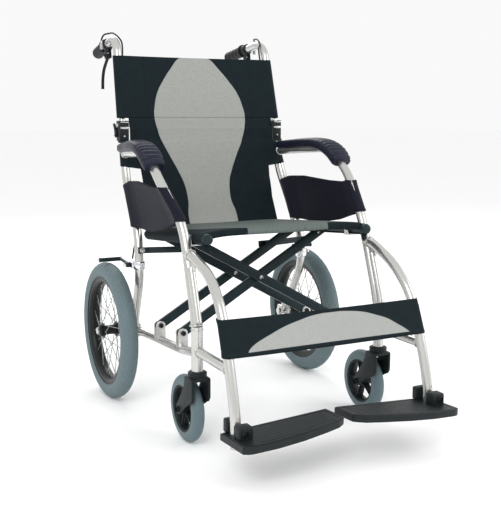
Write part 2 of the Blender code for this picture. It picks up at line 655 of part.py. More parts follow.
def caster(side_name, side):
    """Fork with its stem, the solid tyre and the spoked rim."""
    x, stem_y, wheel_y = side * CASTER_X, CASTER_STEM_Y, CASTER_STEM_Y + CASTER_TRAIL
    body = "caster_fork_" + side_name
    profile = ((stem_y - 0.0215, 0.163), (stem_y + 0.0215, 0.163), (stem_y + 0.0215, 0.152),
               (wheel_y + 0.0105, 0.0830), (wheel_y + 0.0125, 0.0745), (wheel_y + 0.0050, 0.0645),
               (wheel_y - 0.0060, 0.0655), (stem_y + 0.0060, 0.1020), (stem_y - 0.0130, 0.1120),
               (stem_y - 0.0215, 0.1240))
    outline = [at(x - 0.0225, y, z) for y, z in profile]
    fork = slab("caster_fork_" + side_name, outline, (0.045, 0, 0), BLACK_PLASTIC)
    cap = rod("cap", at(x, stem_y, 0.158), at(x, stem_y, HOUSING_BOTTOM - GAP), 0.0208, BLACK_PLASTIC, 20)
    stem = rod("stem", at(x, stem_y, 0.170), at(x, stem_y, HOUSING_BOTTOM + 0.036), 0.0065, BLACK_PLASTIC)
    join(fork, cap, stem)
    slot = rod("slot", at(x - 0.0162, wheel_y, CASTER_R), at(x + 0.0162, wheel_y, CASTER_R), CASTER_R + 0.003,
               BLACK_PLASTIC, 32)
    cut(fork, slot)
    axle = rod("axle", at(x - 0.0262, wheel_y, CASTER_R), at(x + 0.0262, wheel_y, CASTER_R), 0.0045, BLACK_PLASTIC)
    join(fork, axle)
    attach(fork, body)
    centre = at(x, wheel_y, CASTER_R)
    half, seat_r = CASTER_HALF_WIDTH, 0.0530
    profile = ((seat_r, -half), (0.0640, -half), (0.0715, -0.0100), (0.0750, -0.0050), (CASTER_R, 0.0),
               (0.0750, 0.0050), (0.0715, 0.0100), (0.0640, half), (seat_r, half))
    wheel = "caster_wheel_" + side_name
    attach(turned("caster_tyre_" + side_name, profile, centre, 32, GREY_RUBBER), wheel)
    rim_profile = ((seat_r - GAP, -0.0125), (seat_r - GAP, 0.0125), (0.0480, 0.0125), (0.0460, 0.0),
                   (0.0480, -0.0125))
    rim = turned("caster_rim_" + side_name, rim_profile, centre, 32, BLACK_PLASTIC)
    bore = 0.0045 + GAP
    hub = turned("hub", ((0.0115, -0.0150), (0.0115, 0.0150), (bore, 0.0150), (bore, -0.0150)), centre, 16,
                 BLACK_PLASTIC)
    for k in range(5):
        turn = 2 * math.pi * (k + 0.25) / 5
        radial = Vector((0, math.sin(turn), math.cos(turn)))
        tangent = Vector((0, math.cos(turn), -math.sin(turn)))
        corners = []
        for r, w in ((0.0100, 0.0055), (0.0495, 0.0035), (0.0495, -0.0035), (0.0100, -0.0055)):
            corners.append(centre + radial * r + tangent * w - Vector((0.0055, 0, 0)))
        join(hub, slab("spoke", corners, (0.011, 0, 0), BLACK_PLASTIC))
    join(rim, hub)
    attach(rim, wheel)


# ---------------------------------------------------------------- folding back and push handles
def handle_path(side):
    """Centre line of a push handle, from its hinge to the grip's end."""
    x, y, z = BACK_PIVOT
    up = Vector((-side * 0.030, math.sin(LEAN), math.cos(LEAN))).normalized()
    back = Vector((-side * 0.060, math.cos(GRIP_DROP), -math.sin(GRIP_DROP))).normalized()
    hinge = at(side * x, y, z)
    corner = hinge + up * ((0.928 - z) / up.z)
    return hinge, up, back, corner


def push_handle(side_name, side):
    body = "upper_back_" + side_name
    hinge, up, back, corner = handle_path(side)
    start, end = hinge + up * 0.0205, corner + back * 0.196
    handle = tube("push_handle_" + side_name, filleted((start, corner, end), 0.050, 8), TUBE_R, ALUMINIUM)
    eye = rod("eye", hinge - Vector((0.0055, 0, 0)), hinge + Vector((0.0055, 0, 0)), 0.0105, ALUMINIUM, 16)
    low = hinge - Vector((0.0055, 0.009, 0.0))
    tongue = slab("tongue", [low, low + Vector((0, 0.018, 0)), low + Vector((0, 0.018, 0)) + up * 0.024,
                             low + up * 0.024], (0.011, 0, 0), ALUMINIUM)
    join(handle, tongue, eye)
    cut(handle, rod("hole", hinge - Vector((0.02, 0, 0)), hinge + Vector((0.02, 0, 0)), PIN_R + GAP, ALUMINIUM))
    attach(handle, body)
    grip_start, grip_end = corner + back * 0.112, corner + back * 0.208
    grip = rod("handle_grip_" + side_name, grip_start, grip_end, 0.0158, BLACK_PLASTIC, 20)
    join(grip, rod("flange", grip_start, grip_start + back * 0.005, 0.0185, BLACK_PLASTIC, 20))
    cut(grip, rod("bore", grip_start - back * 0.01, end + back * GAP, TUBE_R + GAP, BLACK_PLASTIC, 20))
    attach(grip, body)
    ring_start, ring_end = corner + back * 0.086, corner + back * 0.106
    down = back.cross(Vector((1, 0, 0))).normalized()
    down = down if down.z < 0 else -down
    mount = rod("brake_lever_mount_" + side_name, ring_start, ring_end, 0.0150, BLACK_PLASTIC, 16)
    lug_low = (ring_start + ring_end) / 2 + down * 0.012
    across = Vector((0.0075, 0, 0))
    lug = slab("lug", [lug_low - across - back * 0.010, lug_low - across + back * 0.010,
                       lug_low - across + back * 0.010 + down * 0.026, lug_low - across - back * 0.010 + down * 0.026],
               across * 2, BLACK_PLASTIC)
    join(mount, lug)
    cut(mount, rod("bore", ring_start - back * 0.01, ring_end + back * 0.01, TUBE_R + GAP, BLACK_PLASTIC, 16))
    lever_pivot = pivots["brake_lever_" + side_name].location
    slot = slab("slot", [lever_pivot + Vector((-0.0048, 0, 0)) + back * a + down * b
                         for a, b in ((-0.030, -0.010), (0.030, -0.010), (0.030, 0.030), (-0.030, 0.030))],
                (0.0096, 0, 0), BLACK_PLASTIC)
    cut(mount, slot)
    join(mount, rod("pin", lever_pivot - Vector((0.0075, 0, 0)), lever_pivot + Vector((0.0075, 0, 0)), 0.0025, STEEL))
    attach(mount, body)


def brake_lever_pivot(side):
    hinge, up, back, corner = handle_path(side)
    down = back.cross(Vector((1, 0, 0))).normalized()
    down = down if down.z < 0 else -down
    return corner + back * 0.096 + down * 0.030


def brake_lever(side_name, side):
    """Bicycle-type lever hanging below the grip."""
    place = pivots["brake_lever_" + side_name].location
    path = ((0.0, -0.004), (0.010, -0.018), (0.022, -0.034), (0.036, -0.050), (0.046, -0.068), (0.052, -0.086),
            (0.053, -0.094))
    points = smooth_path([place + Vector((0, y, z)) for y, z in path], 2)
    lever = tube("brake_lever_" + side_name, points, 0.0042, BLACK_PLASTIC, 2)
    eye = rod("eye", place - Vector((0.0038, 0, 0)), place + Vector((0.0038, 0, 0)), 0.0065, BLACK_PLASTIC, 14)
    join(lever, eye)
    cut(lever, rod("hole", place - Vector((0.02, 0, 0)), place + Vector((0.02, 0, 0)), 0.0025 + GAP, STEEL))
    attach(lever, "brake_lever_" + side_name)


def release_lever(side_name, side):
    """Small sprung catch lever on the outer face of the back hinge."""
    place = pivots["release_lever_" + side_name].location
    low = place - Vector((0.0025, 0, 0))
    path = ((-0.0045, -0.004), (0.006, -0.004), (0.0085, 0.010), (0.018, 0.026), (0.014, 0.031), (0.000, 0.016),
            (-0.0045, 0.004))
    outline = [low + Vector((0, y, z)) for y, z in path]
    lever = slab("back_release_lever_" + side_name, outline, (0.005, 0, 0), BLACK_PLASTIC)
    cut(lever, rod("hole", place - Vector((0.02, 0, 0)), place + Vector((0.02, 0, 0)), 0.0018 + GAP, BLACK_PLASTIC))
    attach(lever, "release_lever_" + side_name)


def brake_cables(side_name, side):
    """Cable over the handle bend and down the back tube, then down the rear upright to the brake."""
    hinge, up, back, corner = handle_path(side)
    top = Vector((1, 0, 0)).cross(back).normalized()
    top = top if top.z > 0 else -top
    out = Vector((side, 0, 0))
    half = (-up).angle(back) / 2
    bend = corner + (back - up).normalized() * 0.050 / math.sin(half)
    middle = (corner - bend).normalized()
    clear = TUBE_R + 0.0022
    route = [corner + back * 0.0835 + out * 0.0195 - top * 0.006, corner + back * 0.0820 + out * 0.0195 + top * 0.008,
             corner + back * 0.0720 + out * 0.0140 + top * 0.0200, corner + back * 0.0560 + out * 0.0040 + top * 0.0205]
    route.append(bend + (top * 2 + middle).normalized() * (0.050 + clear + 0.0035) - out * 0.002)
    route.append(bend + (middle - up * 0.0) * (0.050 + clear - 0.001) - out * 0.009)
    route.append(bend + (middle * 2 - back).normalized() * 0.052 - out * (clear + 0.0025))
    route.append(corner - up * 0.070 + Vector((0, 0.008, 0)) - out * (clear - 0.0005))
    for drop in (0.095, 0.130, 0.160):
        route.append(corner - up * drop + Vector((0, clear + 0.0030, 0)))
    route.append(hinge + up * 0.050 + Vector((0, clear + 0.0040, 0)))
    attach(tube("brake_cable_upper_" + side_name, smooth_path(route, 3), 0.0022, BLACK_PLASTIC, 2),
           "upper_back_" + side_name)
    route = [(0.2245, 0.0775, 0.6400), (0.2250, 0.0640, 0.6050), (0.2270, 0.0560, 0.5850),
             (0.2280, 0.0480, 0.5650), (0.2290, 0.0370, 0.5450), (0.2300, 0.0030, 0.4950),
             (0.2305, -0.0240, 0.4500), (0.2330, -0.0480, 0.4100), (0.2385, -0.0540, 0.3900),
             (0.2450, -0.0600, 0.3660)]
    attach(tube("brake_cable_lower_" + side_name, smooth_path(mirrored(route, side), 3), 0.0022, BLACK_PLASTIC, 2),
           side_name + "_frame")


# ---------------------------------------------------------------- footplates
def footplate(side_name, side):
    """Tread with two lugs that straddle the leg tube."""
    x, y, z = PLATE_PIVOT
    tilt, pitch, drop, thick = 0.055, -0.055, -0.0125, 0.017
    rear, front = 0.026, -0.083
    columns = ((-0.0215, -0.078), (0.0, -0.086), (0.05, -0.089), (0.11, -0.083), (0.17, -0.070), (0.205, -0.060),
               (0.2225, -0.047))
    bm = bmesh.new()
    tops, bottoms = [], []
    for across, fore in columns:
        thin = thick if across < 0.17 else thick - (across - 0.17) * 0.16
        top_row, low_row = [], []
        for back in (rear, fore):
            height = z + drop + tilt * across + pitch * (back + 0.027)
            top_row.append(bm.verts.new(at(side * (x - across), y + back, height)))
            low_row.append(bm.verts.new(at(side * (x - across), y + back, height - thin)))
        tops.append(top_row)
        bottoms.append(low_row)
    for rows in (tops, bottoms):
        for a, b in zip(rows, rows[1:]):
            bm.faces.new((a[0], b[0], b[1], a[1]))
    for k in (0, 1):
        for i in range(len(columns) - 1):
            bm.faces.new((tops[i][k], tops[i + 1][k], bottoms[i + 1][k], bottoms[i][k]))
    for i in (0, -1):
        bm.faces.new((tops[i][0], tops[i][1], bottoms[i][1], bottoms[i][0]))
    bmesh.ops.triangulate(bm, faces=bm.faces)
    plate = from_bmesh("footplate_" + side_name, bm, BLACK_PLASTIC)
    for low, high in ((-0.042, -0.0145), (0.0145, 0.033)):
        corners = []
        for a, b in ((-0.012, -0.020), (-0.012, 0.008), (-0.007, 0.012), (0.007, 0.012), (0.012, 0.007),
                     (0.020, -0.020)):
            corners.append(at(side * (x - a), y + low, z + b))
        join(plate, slab("lug", corners, (0, high - low, 0), BLACK_PLASTIC))
    well = rod("well", at(side * x, y, 0.0), at(side * x, y, z + 0.05), TUBE_R + 0.0015, BLACK_PLASTIC, 16)
    swing = box("swing", at(side * x - 0.0128, y - 0.0145, 0.0), at(side * x + 0.0128, y + 0.0145, z + 0.03),
                BLACK_PLASTIC)
    cut(plate, well, swing)
    inner = sorted((side * (x - 0.0128), side * (x + 0.030)))
    cut(plate, box("notch", at(inner[0], y - 0.0145, z - 0.06), at(inner[1], y + 0.0145, z + 0.03), BLACK_PLASTIC))
    cut(plate, rod("hole", at(side * x, y - 0.06, z), at(side * x, y + 0.06, z), PIN_R + GAP, BLACK_PLASTIC))
    attach(plate, "footplate_" + side_name)


# ---------------------------------------------------------------- fabric pieces
def fabric_pieces():
    """Seat, back and calf slings as plain thin solids in their places."""
    seat_rows = []
    for forward in (-0.200, -0.05, 0.10, 0.149):
        row = []
        for k in range(9):
            x = -SEAT_RAIL_X + 2 * SEAT_RAIL_X * k / 8
            dip = 0.010 * (1 - (x / SEAT_RAIL_X) ** 2)
            row.append(fold_point(x, forward, RAIL_RISE + TUBE_R + 0.003 - dip))
        seat_rows.append(row)
    attach(sheet("seat_sling", seat_rows, 0.004, BLACK_NYLON), "brace_b")
    upper_rows, lower_rows = [], []
    for k in range(5):
        height = 0.728 + (0.879 - 0.728) * k / 4
        y = BACK_PIVOT[1] + (height - BACK_PIVOT[2]) * math.tan(LEAN)
        half = 0.2245 - 0.0300 * (height - BACK_PIVOT[2]) - TUBE_R - 0.002
        upper_rows.append([at(half * a, y + 0.010 * (1 - a * a), height) for a in (-1, -0.5, 0, 0.5, 1)])
    attach(sheet("back_sling_upper", upper_rows, 0.004, BLACK_NYLON), "upper_back_right")
    for height, y, half in ((0.440, -0.030, 0.195), (0.500, 0.000, 0.195), (0.560, 0.024, 0.196), (0.620, 0.041, 0.197),
                            (0.680, 0.054, 0.197), (0.722, 0.063, 0.198)):
        lower_rows.append([at(half * a, y + 0.010 * (1 - a * a), height) for a in (-1, -0.5, 0, 0.5, 1)])
    attach(sheet("back_sling_lower", lower_rows, 0.004, BLACK_NYLON), "right_frame")
    calf_rows = []
    for height, y in ((0.2395, -0.598), (0.277, -0.585), (0.313, -0.570)):
        calf_rows.append([at(0.221 * a, y, height) for a in (-1, -0.5, 0, 0.5, 1)])
    attach(sheet("calf_strap", calf_rows, 0.004, BLACK_NYLON), "right_frame")


# ---------------------------------------------------------------- assembly
def place_pivots():
    pivot("right_frame", Vector((0, 0, 0)))
    pivot("brace_a", fold_point(-BRACE_PIVOT_X, 0, 0))
    pivot("brace_b", fold_point(0, 0, BRACE_PIVOT_X * math.tan(BRACE_ANGLE)))
    pivot("left_frame", fold_point(BRACE_PIVOT_X, 0, 0))
    for side_name, side in SIDES:
        x, y, z = BACK_PIVOT
        pivot("upper_back_" + side_name, at(side * x, y, z))
        pivot("release_lever_" + side_name, at(side * (x + 0.0153), y + 0.0060, z - 0.0250))
        pivot("brake_lever_" + side_name, brake_lever_pivot(side))
        pivot("brake_arm_" + side_name, at(side * 0.2575, -0.060, 0.352))
        pivot("rear_wheel_" + side_name, at(side * REAR_WHEEL_X, 0, REAR_WHEEL_R))
        pivot("caster_fork_" + side_name, at(side * CASTER_X, CASTER_STEM_Y, HOUSING_BOTTOM))
        pivot("caster_wheel_" + side_name, at(side * CASTER_X, CASTER_STEM_Y + CASTER_TRAIL, CASTER_R))
        x, y, z = PLATE_PIVOT
        pivot("footplate_" + side_name, at(side * x, y, z))
        x, y, z = LINK_PIVOT
        pivot("fold_link_" + side_name, at(side * x, y, z))


def build():
    place_pivots()
    build_braces()
    for side_name, side in SIDES:
        body = side_name + "_frame"
        rear_upright(side_name, side, body)
        front_upright(side_name, side, body)
        caster_housing(side_name, side, body)
        leg_tube(side_name, side, body)
        upright_stiffener(side_name, side, body)
        bottom_rail(side_name, side, body)
        rail_saddle(side_name, side, body)
        armrest_pad(side_name, side, body)
        side_panel(side_name, side, body)
        hinge_block(side_name, side, body)
        brake_bracket(side_name, side, body)
        brake_arm(side_name, side)
        rear_axle(side_name, side, body)
        rear_wheel(side_name, side)
        caster(side_name, side)
        push_handle(side_name, side)
        brake_lever(side_name, side)
        release_lever(side_name, side)
        brake_cables(side_name, side)
        footplate(side_name, side)
        fold_link(side_name, side)
    fabric_pieces()


build()
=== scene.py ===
import math

import bpy
from mathutils import Matrix, Vector


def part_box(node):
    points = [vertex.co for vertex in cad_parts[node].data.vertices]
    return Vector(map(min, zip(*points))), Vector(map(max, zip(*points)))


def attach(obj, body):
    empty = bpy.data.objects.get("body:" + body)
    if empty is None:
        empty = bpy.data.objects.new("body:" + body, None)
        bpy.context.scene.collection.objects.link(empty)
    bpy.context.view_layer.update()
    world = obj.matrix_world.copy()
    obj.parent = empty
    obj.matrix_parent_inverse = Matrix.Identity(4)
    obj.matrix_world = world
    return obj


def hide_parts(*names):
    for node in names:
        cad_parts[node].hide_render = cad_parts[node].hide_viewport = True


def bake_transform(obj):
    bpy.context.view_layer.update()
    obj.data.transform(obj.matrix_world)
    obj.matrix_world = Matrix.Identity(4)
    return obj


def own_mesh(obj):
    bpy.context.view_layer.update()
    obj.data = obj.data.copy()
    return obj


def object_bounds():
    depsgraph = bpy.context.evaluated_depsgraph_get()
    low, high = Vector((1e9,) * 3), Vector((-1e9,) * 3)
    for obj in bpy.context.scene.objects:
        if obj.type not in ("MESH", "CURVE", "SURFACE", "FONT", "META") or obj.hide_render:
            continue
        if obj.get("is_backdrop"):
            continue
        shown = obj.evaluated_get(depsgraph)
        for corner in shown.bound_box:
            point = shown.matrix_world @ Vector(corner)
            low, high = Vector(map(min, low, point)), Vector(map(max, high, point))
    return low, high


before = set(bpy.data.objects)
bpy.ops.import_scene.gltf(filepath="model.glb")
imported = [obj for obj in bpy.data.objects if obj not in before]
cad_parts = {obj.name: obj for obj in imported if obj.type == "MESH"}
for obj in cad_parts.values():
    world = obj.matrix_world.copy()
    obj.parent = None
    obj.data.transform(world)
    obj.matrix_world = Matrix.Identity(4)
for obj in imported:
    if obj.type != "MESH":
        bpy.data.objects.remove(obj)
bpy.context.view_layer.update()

# ------------------------------------------------------------------ bent frame tubes
# Seven-eighths aluminium tube, bent cold and TIG welded, then lacquered a pale champagne
# silver.  The axle runs in a machined block welded to the foot of the rear upright.
tyre_low, tyre_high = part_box("rear_tyre_right")
axle_y = (tyre_low[1] + tyre_high[1]) / 2
TUBE = 0.0111


def spot(x, y, z):
    """A point on the right-hand side: x outward from the middle, y back from the axle."""
    return Vector((-x, y + axle_y, z))


def wired(made, kind, *inputs, **settings):
    """A node added to a finish, with its settings made and its inputs set or linked."""
    node = made.node_tree.nodes.new("ShaderNode" + kind)
    for word, value in settings.items():
        setattr(node, word, value)
    for socket, value in inputs:
        if isinstance(value, bpy.types.NodeSocket):
            made.node_tree.links.new(value, node.inputs[socket])
        else:
            node.inputs[socket].default_value = value
    return node


def speckled(name, colour, rough, metal=0.0, vary=0.10, size=90.0, dent=0.0, spread=0.06, shine=0.22,
             laid=False):
    """A finish whose tone and gloss wander a little; laid finishes follow the piece's own map."""
    made = bpy.data.materials.new(name)
    made.use_nodes = True
    links = made.node_tree.links
    shader = made.node_tree.nodes["Principled BSDF"]
    shader.inputs["Metallic"].default_value = metal
    shader.inputs["Specular IOR Level"].default_value = 0.5 if metal else shine
    place = wired(made, "UVMap" if laid else "TexCoord", name="place")
    where = place.outputs["UV" if laid else "Object"]
    grain = wired(made, "TexNoise", ("Vector", where), ("Scale", size), ("Detail", 4.0)).outputs["Fac"]
    tone = wired(made, "ValToRGB", ("Fac", grain), name="tone")
    for stop, position, factor in zip(tone.color_ramp.elements, (0.3, 0.7), (1 - vary, 1 + vary)):
        stop.position = position
        stop.color = [min(1.0, c * factor) for c in colour] + [1]
    links.new(tone.outputs["Color"], shader.inputs["Base Color"])
    gloss = wired(made, "MapRange", ("Value", grain), ("To Min", rough - spread),
                  ("To Max", rough + spread))
    links.new(gloss.outputs["Result"], shader.inputs["Roughness"])
    if dent:
        fine = wired(made, "TexNoise", ("Vector", where), ("Scale", size * 9), ("Detail", 3.0))
        relief = wired(made, "Bump", ("Height", fine.outputs["Fac"]), ("Strength", dent),
                       ("Distance", 0.0006))
        links.new(relief.outputs["Normal"], shader.inputs["Normal"])
    return made


def eased(points, steps=6):
    """Points on a smooth line through the bends' setting-out points."""
    pts = [Vector(p) for p in points]
    pts = [2 * pts[0] - pts[1]] + pts + [2 * pts[-1] - pts[-2]]
    out = []
    for i in range(1, len(pts) - 2):
        a, b, c, d = pts[i - 1:i + 3]
        for k in range(steps):
            t = k / steps
            out.append(0.5 * (2 * b + (c - a) * t + (2 * a - 5 * b + 4 * c - d) * t * t
                              + (3 * b - a - 3 * c + d) * t ** 3))
    out.append(pts[-2])
    return out


def smooth(obj, angle=35):
    """Clean doubles, point the faces out and round the shading."""
    bpy.ops.object.select_all(action="DESELECT")
    obj.select_set(True)
    bpy.context.view_layer.objects.active = obj
    bpy.ops.object.mode_set(mode="EDIT")
    bpy.ops.mesh.select_all(action="SELECT")
    bpy.ops.mesh.remove_doubles(threshold=0.00001)
    bpy.ops.mesh.normals_make_consistent(inside=False)
    bpy.ops.object.mode_set(mode="OBJECT")
    bpy.ops.object.shade_smooth_by_angle(angle=math.radians(angle))
    return obj


def bent_tube(name, points, radius=TUBE, sides=8, steps=6):
    """Round tube or rod along a bent line, with closed ends."""
    bpy.ops.object.select_all(action="DESELECT")
    bpy.ops.curve.primitive_bezier_curve_add()
    tube = bpy.context.object
    tube.name = name
    curve = tube.data
    curve.dimensions = "3D"
    curve.splines.clear()
    line = eased(points, steps) if steps else [Vector(p) for p in points]
    run = curve.splines.new("POLY")
    run.points.add(len(line) - 1)
    for knot, place in zip(run.points, line):
        knot.co = (*place, 1.0)
    curve.bevel_depth = radius
    curve.bevel_resolution = sides
    curve.use_fill_caps = True
    bpy.ops.object.convert(target="MESH")
    tube = bpy.context.object
    tube.location = (0, 0, 0)
    return smooth(tube)


def weld_bead(centre, along, radius, thick=0.0019):
    """The ring of ripples that a weld leaves round a tube."""
    bpy.ops.object.select_all(action="DESELECT")
    bpy.ops.mesh.primitive_torus_add(major_radius=radius, minor_radius=thick, major_segments=72,
                                     minor_segments=8)
    bead = bpy.context.object
    for vert in bead.data.vertices:
        turn = math.atan2(vert.co.y, vert.co.x)
        vert.co *= 1 + 0.018 * math.sin(turn * 24)
    turned = Vector(along).to_track_quat("Z", "Y").to_matrix().to_4x4()
    bead.data.transform(Matrix.Translation(centre) @ turned)
    return smooth(bead, 60)


def gathered(main, *others):
    """Several made parts become one piece."""
    bpy.ops.object.select_all(action="DESELECT")
    for part in others:
        part.select_set(True)
    main.select_set(True)
    bpy.context.view_layer.objects.active = main
    bpy.ops.object.join()
    return main


def block(name, low, high, edge=0.0012, segments=3):
    """A machined or moulded block with rounded edges."""
    bpy.ops.object.select_all(action="DESELECT")
    low, high = Vector(low), Vector(high)
    low, high = Vector(map(min, low, high)), Vector(map(max, low, high))
    bpy.ops.mesh.primitive_cube_add(size=1.0)
    made = bpy.context.object
    made.name = name
    made.data.transform(Matrix.Translation((low + high) / 2) @ Matrix.Diagonal((*(high - low), 1)))
    bpy.ops.object.mode_set(mode="EDIT")
    bpy.ops.mesh.select_all(action="SELECT")
    bpy.ops.mesh.bevel(offset=edge, segments=segments, affect="EDGES")
    bpy.ops.object.mode_set(mode="OBJECT")
    bpy.ops.object.shade_smooth_by_angle(angle=math.radians(35))
    return made


def capscrew(name, seat, along, radius=0.006, height=0.004, sides=24, socket=0.5):
    """Screw head with a rounded rim and a socket."""
    bpy.ops.object.select_all(action="DESELECT")
    bpy.ops.mesh.primitive_cylinder_add(vertices=sides, radius=radius, depth=height,
                                        location=(0, 0, height / 2))
    head = bpy.context.object
    head.name = name
    bpy.ops.object.transform_apply(location=True)
    bpy.ops.object.mode_set(mode="EDIT")
    bpy.ops.mesh.select_all(action="DESELECT")
    bpy.ops.object.mode_set(mode="OBJECT")
    for face in head.data.polygons:
        face.select = face.normal.z > 0.9
    bpy.ops.object.mode_set(mode="EDIT")
    bpy.ops.mesh.bevel(offset=radius * 0.15, segments=2, affect="EDGES")
    bpy.ops.object.mode_set(mode="OBJECT")
    for face in head.data.polygons:
        face.select = face.normal.z > 0.99
    bpy.ops.object.mode_set(mode="EDIT")
    bpy.ops.mesh.inset(thickness=radius * (0.9 - socket))
    bpy.ops.mesh.extrude_region_move(TRANSFORM_OT_translate={"value": (0, 0, -height * 0.55)})
    bpy.ops.object.mode_set(mode="OBJECT")
    turned = Vector(along).to_track_quat("Z", "Y").to_matrix().to_4x4()
    head.data.transform(Matrix.Translation(seat) @ turned)
    head.location = (0, 0, 0)
    bpy.ops.object.shade_smooth_by_angle(angle=math.radians(35))
    return head


def dress(piece, finish, body, slot, *nodes):
    """Give a piece its finish and its body, and hide the solids that it stands for."""
    if not piece.data.materials:
        piece.data.materials.append(finish)
    else:
        for i in range(len(piece.data.materials)):
            piece.data.materials[i] = piece.data.materials[i] or finish
    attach(piece, body)
    if nodes:
        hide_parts(*nodes)
    return piece


def far_side(name):
    """The same name for the left-hand side."""
    return "_".join("left" if word == "right" else word for word in name.split("_"))


def both(piece, finish, body, slot, *nodes):
    """Dress the right-hand piece and make its mirror image for the left."""
    twin = piece.copy()
    twin.data = piece.data.copy()
    twin.name = far_side(piece.name)
    bpy.context.collection.objects.link(twin)
    twin.data.transform(Matrix.Scale(-1, 4, (1, 0, 0)))
    twin.data.flip_normals()
    dress(piece, finish, body, slot, *nodes)
    dress(twin, finish, far_side(body), slot, *[far_side(node) for node in nodes])
    return piece, twin


champagne = speckled("champagne_lacquer", (0.56, 0.56, 0.54), 0.26, metal=0.90, vary=0.012, size=9,
                     spread=0.012)
REAR = [(0.225, 0.0465, 0.654), (0.225, 0.040, 0.612), (0.227, 0.031, 0.588), (0.229, 0.014, 0.552),
        (0.230, -0.022, 0.500), (0.230, -0.051, 0.450), (0.232, -0.069, 0.415), (0.2335, -0.078, 0.380),
        (0.234, -0.080, 0.350), (0.2335, -0.077, 0.320), (0.232, -0.066, 0.290), (0.2295, -0.045, 0.250),
        (0.227, -0.022, 0.205), (0.225, -0.004, 0.175)]
FRONT = [(0.2252, 0.0415, 0.6265), (0.236, -0.030, 0.630), (0.2455, -0.110, 0.635),
         (0.2505, -0.172, 0.6365), (0.2525, -0.215, 0.622), (0.253, -0.245, 0.600),
         (0.2525, -0.272, 0.578), (0.247, -0.305, 0.546), (0.2375, -0.347, 0.502),
         (0.2345, -0.372, 0.462), (0.2345, -0.389, 0.420), (0.2355, -0.410, 0.360),
         (0.236, -0.426, 0.315), (0.2365, -0.4375, 0.2755)]
LEG = [(0.2343, -0.3885, 0.4245), (0.233, -0.417, 0.421), (0.231, -0.450, 0.4095),
       (0.230, -0.480, 0.3975), (0.2305, -0.510, 0.380), (0.232, -0.535, 0.358), (0.2335, -0.556, 0.335),
       (0.235, -0.5745, 0.303), (0.236, -0.594, 0.253), (0.237, -0.612, 0.200), (0.2372, -0.625, 0.155),
       (0.2375, -0.633, 0.115), (0.2375, -0.633, 0.067)]

rear_tube = bent_tube("rear_upright_right_tube", [spot(*p) for p in REAR])
receiver = block("receiver", spot(0.2122, -0.0153, 0.1577), spot(0.2388, 0.0153, 0.1923), 0.004)
link_bolt = capscrew("link_bolt", spot(0.232, -0.0965, 0.3914), (0, -1, 0.087), 0.0075, 0.004, 6, 0.6)
gathered(rear_tube, receiver, link_bolt,
         weld_bead(spot(0.2262, -0.014, 0.194), (0, 0.35, -0.93), TUBE + 0.0006))
both(rear_tube, champagne, "right_frame", "champagne_aluminium", "rear_upright_right")

arm_tube = bent_tube("armrest_upright_right_tube", [spot(*p) for p in FRONT])
gathered(arm_tube, weld_bead(spot(0.2275, 0.029, 0.6268), (0.1, -1, 0.05), TUBE + 0.0006),
         weld_bead(spot(0.2365, -0.4380, 0.2758), (0, -0.15, -1), TUBE + 0.0012, 0.0024))
both(arm_tube, champagne, "right_frame", "champagne_aluminium", "armrest_upright_right")

leg_tube = bent_tube("leg_tube_right_tube", [spot(*p) for p in LEG])
strut = bent_tube("strut", [spot(0.2365, -0.4555, 0.2205), spot(0.2367, -0.530, 0.2205),
                            spot(0.2368, -0.602, 0.2205)],
                  0.0103, 8, 1)
adjusters = []
for y, z in ((-0.6235, 0.155), (-0.6308, 0.1305)):
    adjusters.append(capscrew("adjuster", spot(0.2373, y - 0.0106, z), (0, -1, 0.1), 0.0032, 0.0014, 16,
                              0.7))
gusset = block("gusset", spot(0.2315, -0.398, 0.391), spot(0.2375, -0.430, 0.4135), 0.0022)
gathered(leg_tube, strut, gusset, *adjusters,
         weld_bead(spot(0.2335, -0.4035, 0.4235), (0, -1, -0.1), TUBE + 0.0007, 0.0022),
         weld_bead(spot(0.2365, -0.4568, 0.2205), (0, -1, 0), 0.0108),
         weld_bead(spot(0.2368, -0.5955, 0.2205), (0, -1, 0), 0.0108))
both(leg_tube, champagne, "right_frame", "champagne_aluminium", "leg_tube_right")

stiffener = bent_tube("upright_stiffener_right_tube",
                      [spot(0.2355, -0.4115, 0.398), spot(0.236, -0.434, 0.335),
                       spot(0.2365, -0.4515, 0.283)], 0.0079, 8, 4)
both(stiffener, champagne, "right_frame", "champagne_aluminium", "upright_stiffener_right")

RAIL = [(0.216, -0.0160, 0.1655), (0.2075, -0.045, 0.166), (0.205, -0.090, 0.168), (0.205, -0.180, 0.174),
        (0.205, -0.270, 0.180), (0.208, -0.305, 0.185), (0.217, -0.350, 0.195), (0.226, -0.400, 0.206),
        (0.2315, -0.4345, 0.2130)]
rail_tube = bent_tube("bottom_rail_right_tube", [spot(*p) for p in RAIL], 0.0104)
gathered(rail_tube, weld_bead(spot(0.2305, -0.430, 0.2120), (-0.15, -1, 0.2), 0.0110),
         weld_bead(spot(0.2150, -0.0195, 0.1655), (0.1, -1, 0), 0.0110))
both(rail_tube, champagne, "right_frame", "champagne_aluminium")

# ------------------------------------------------------------------ caster housings
# Turned sleeve welded to the foot of each upright and closed at the top; the bearing
# for the caster's stem is pressed into its lower end.
stem_x, stem_y = 0.2365, -0.4435


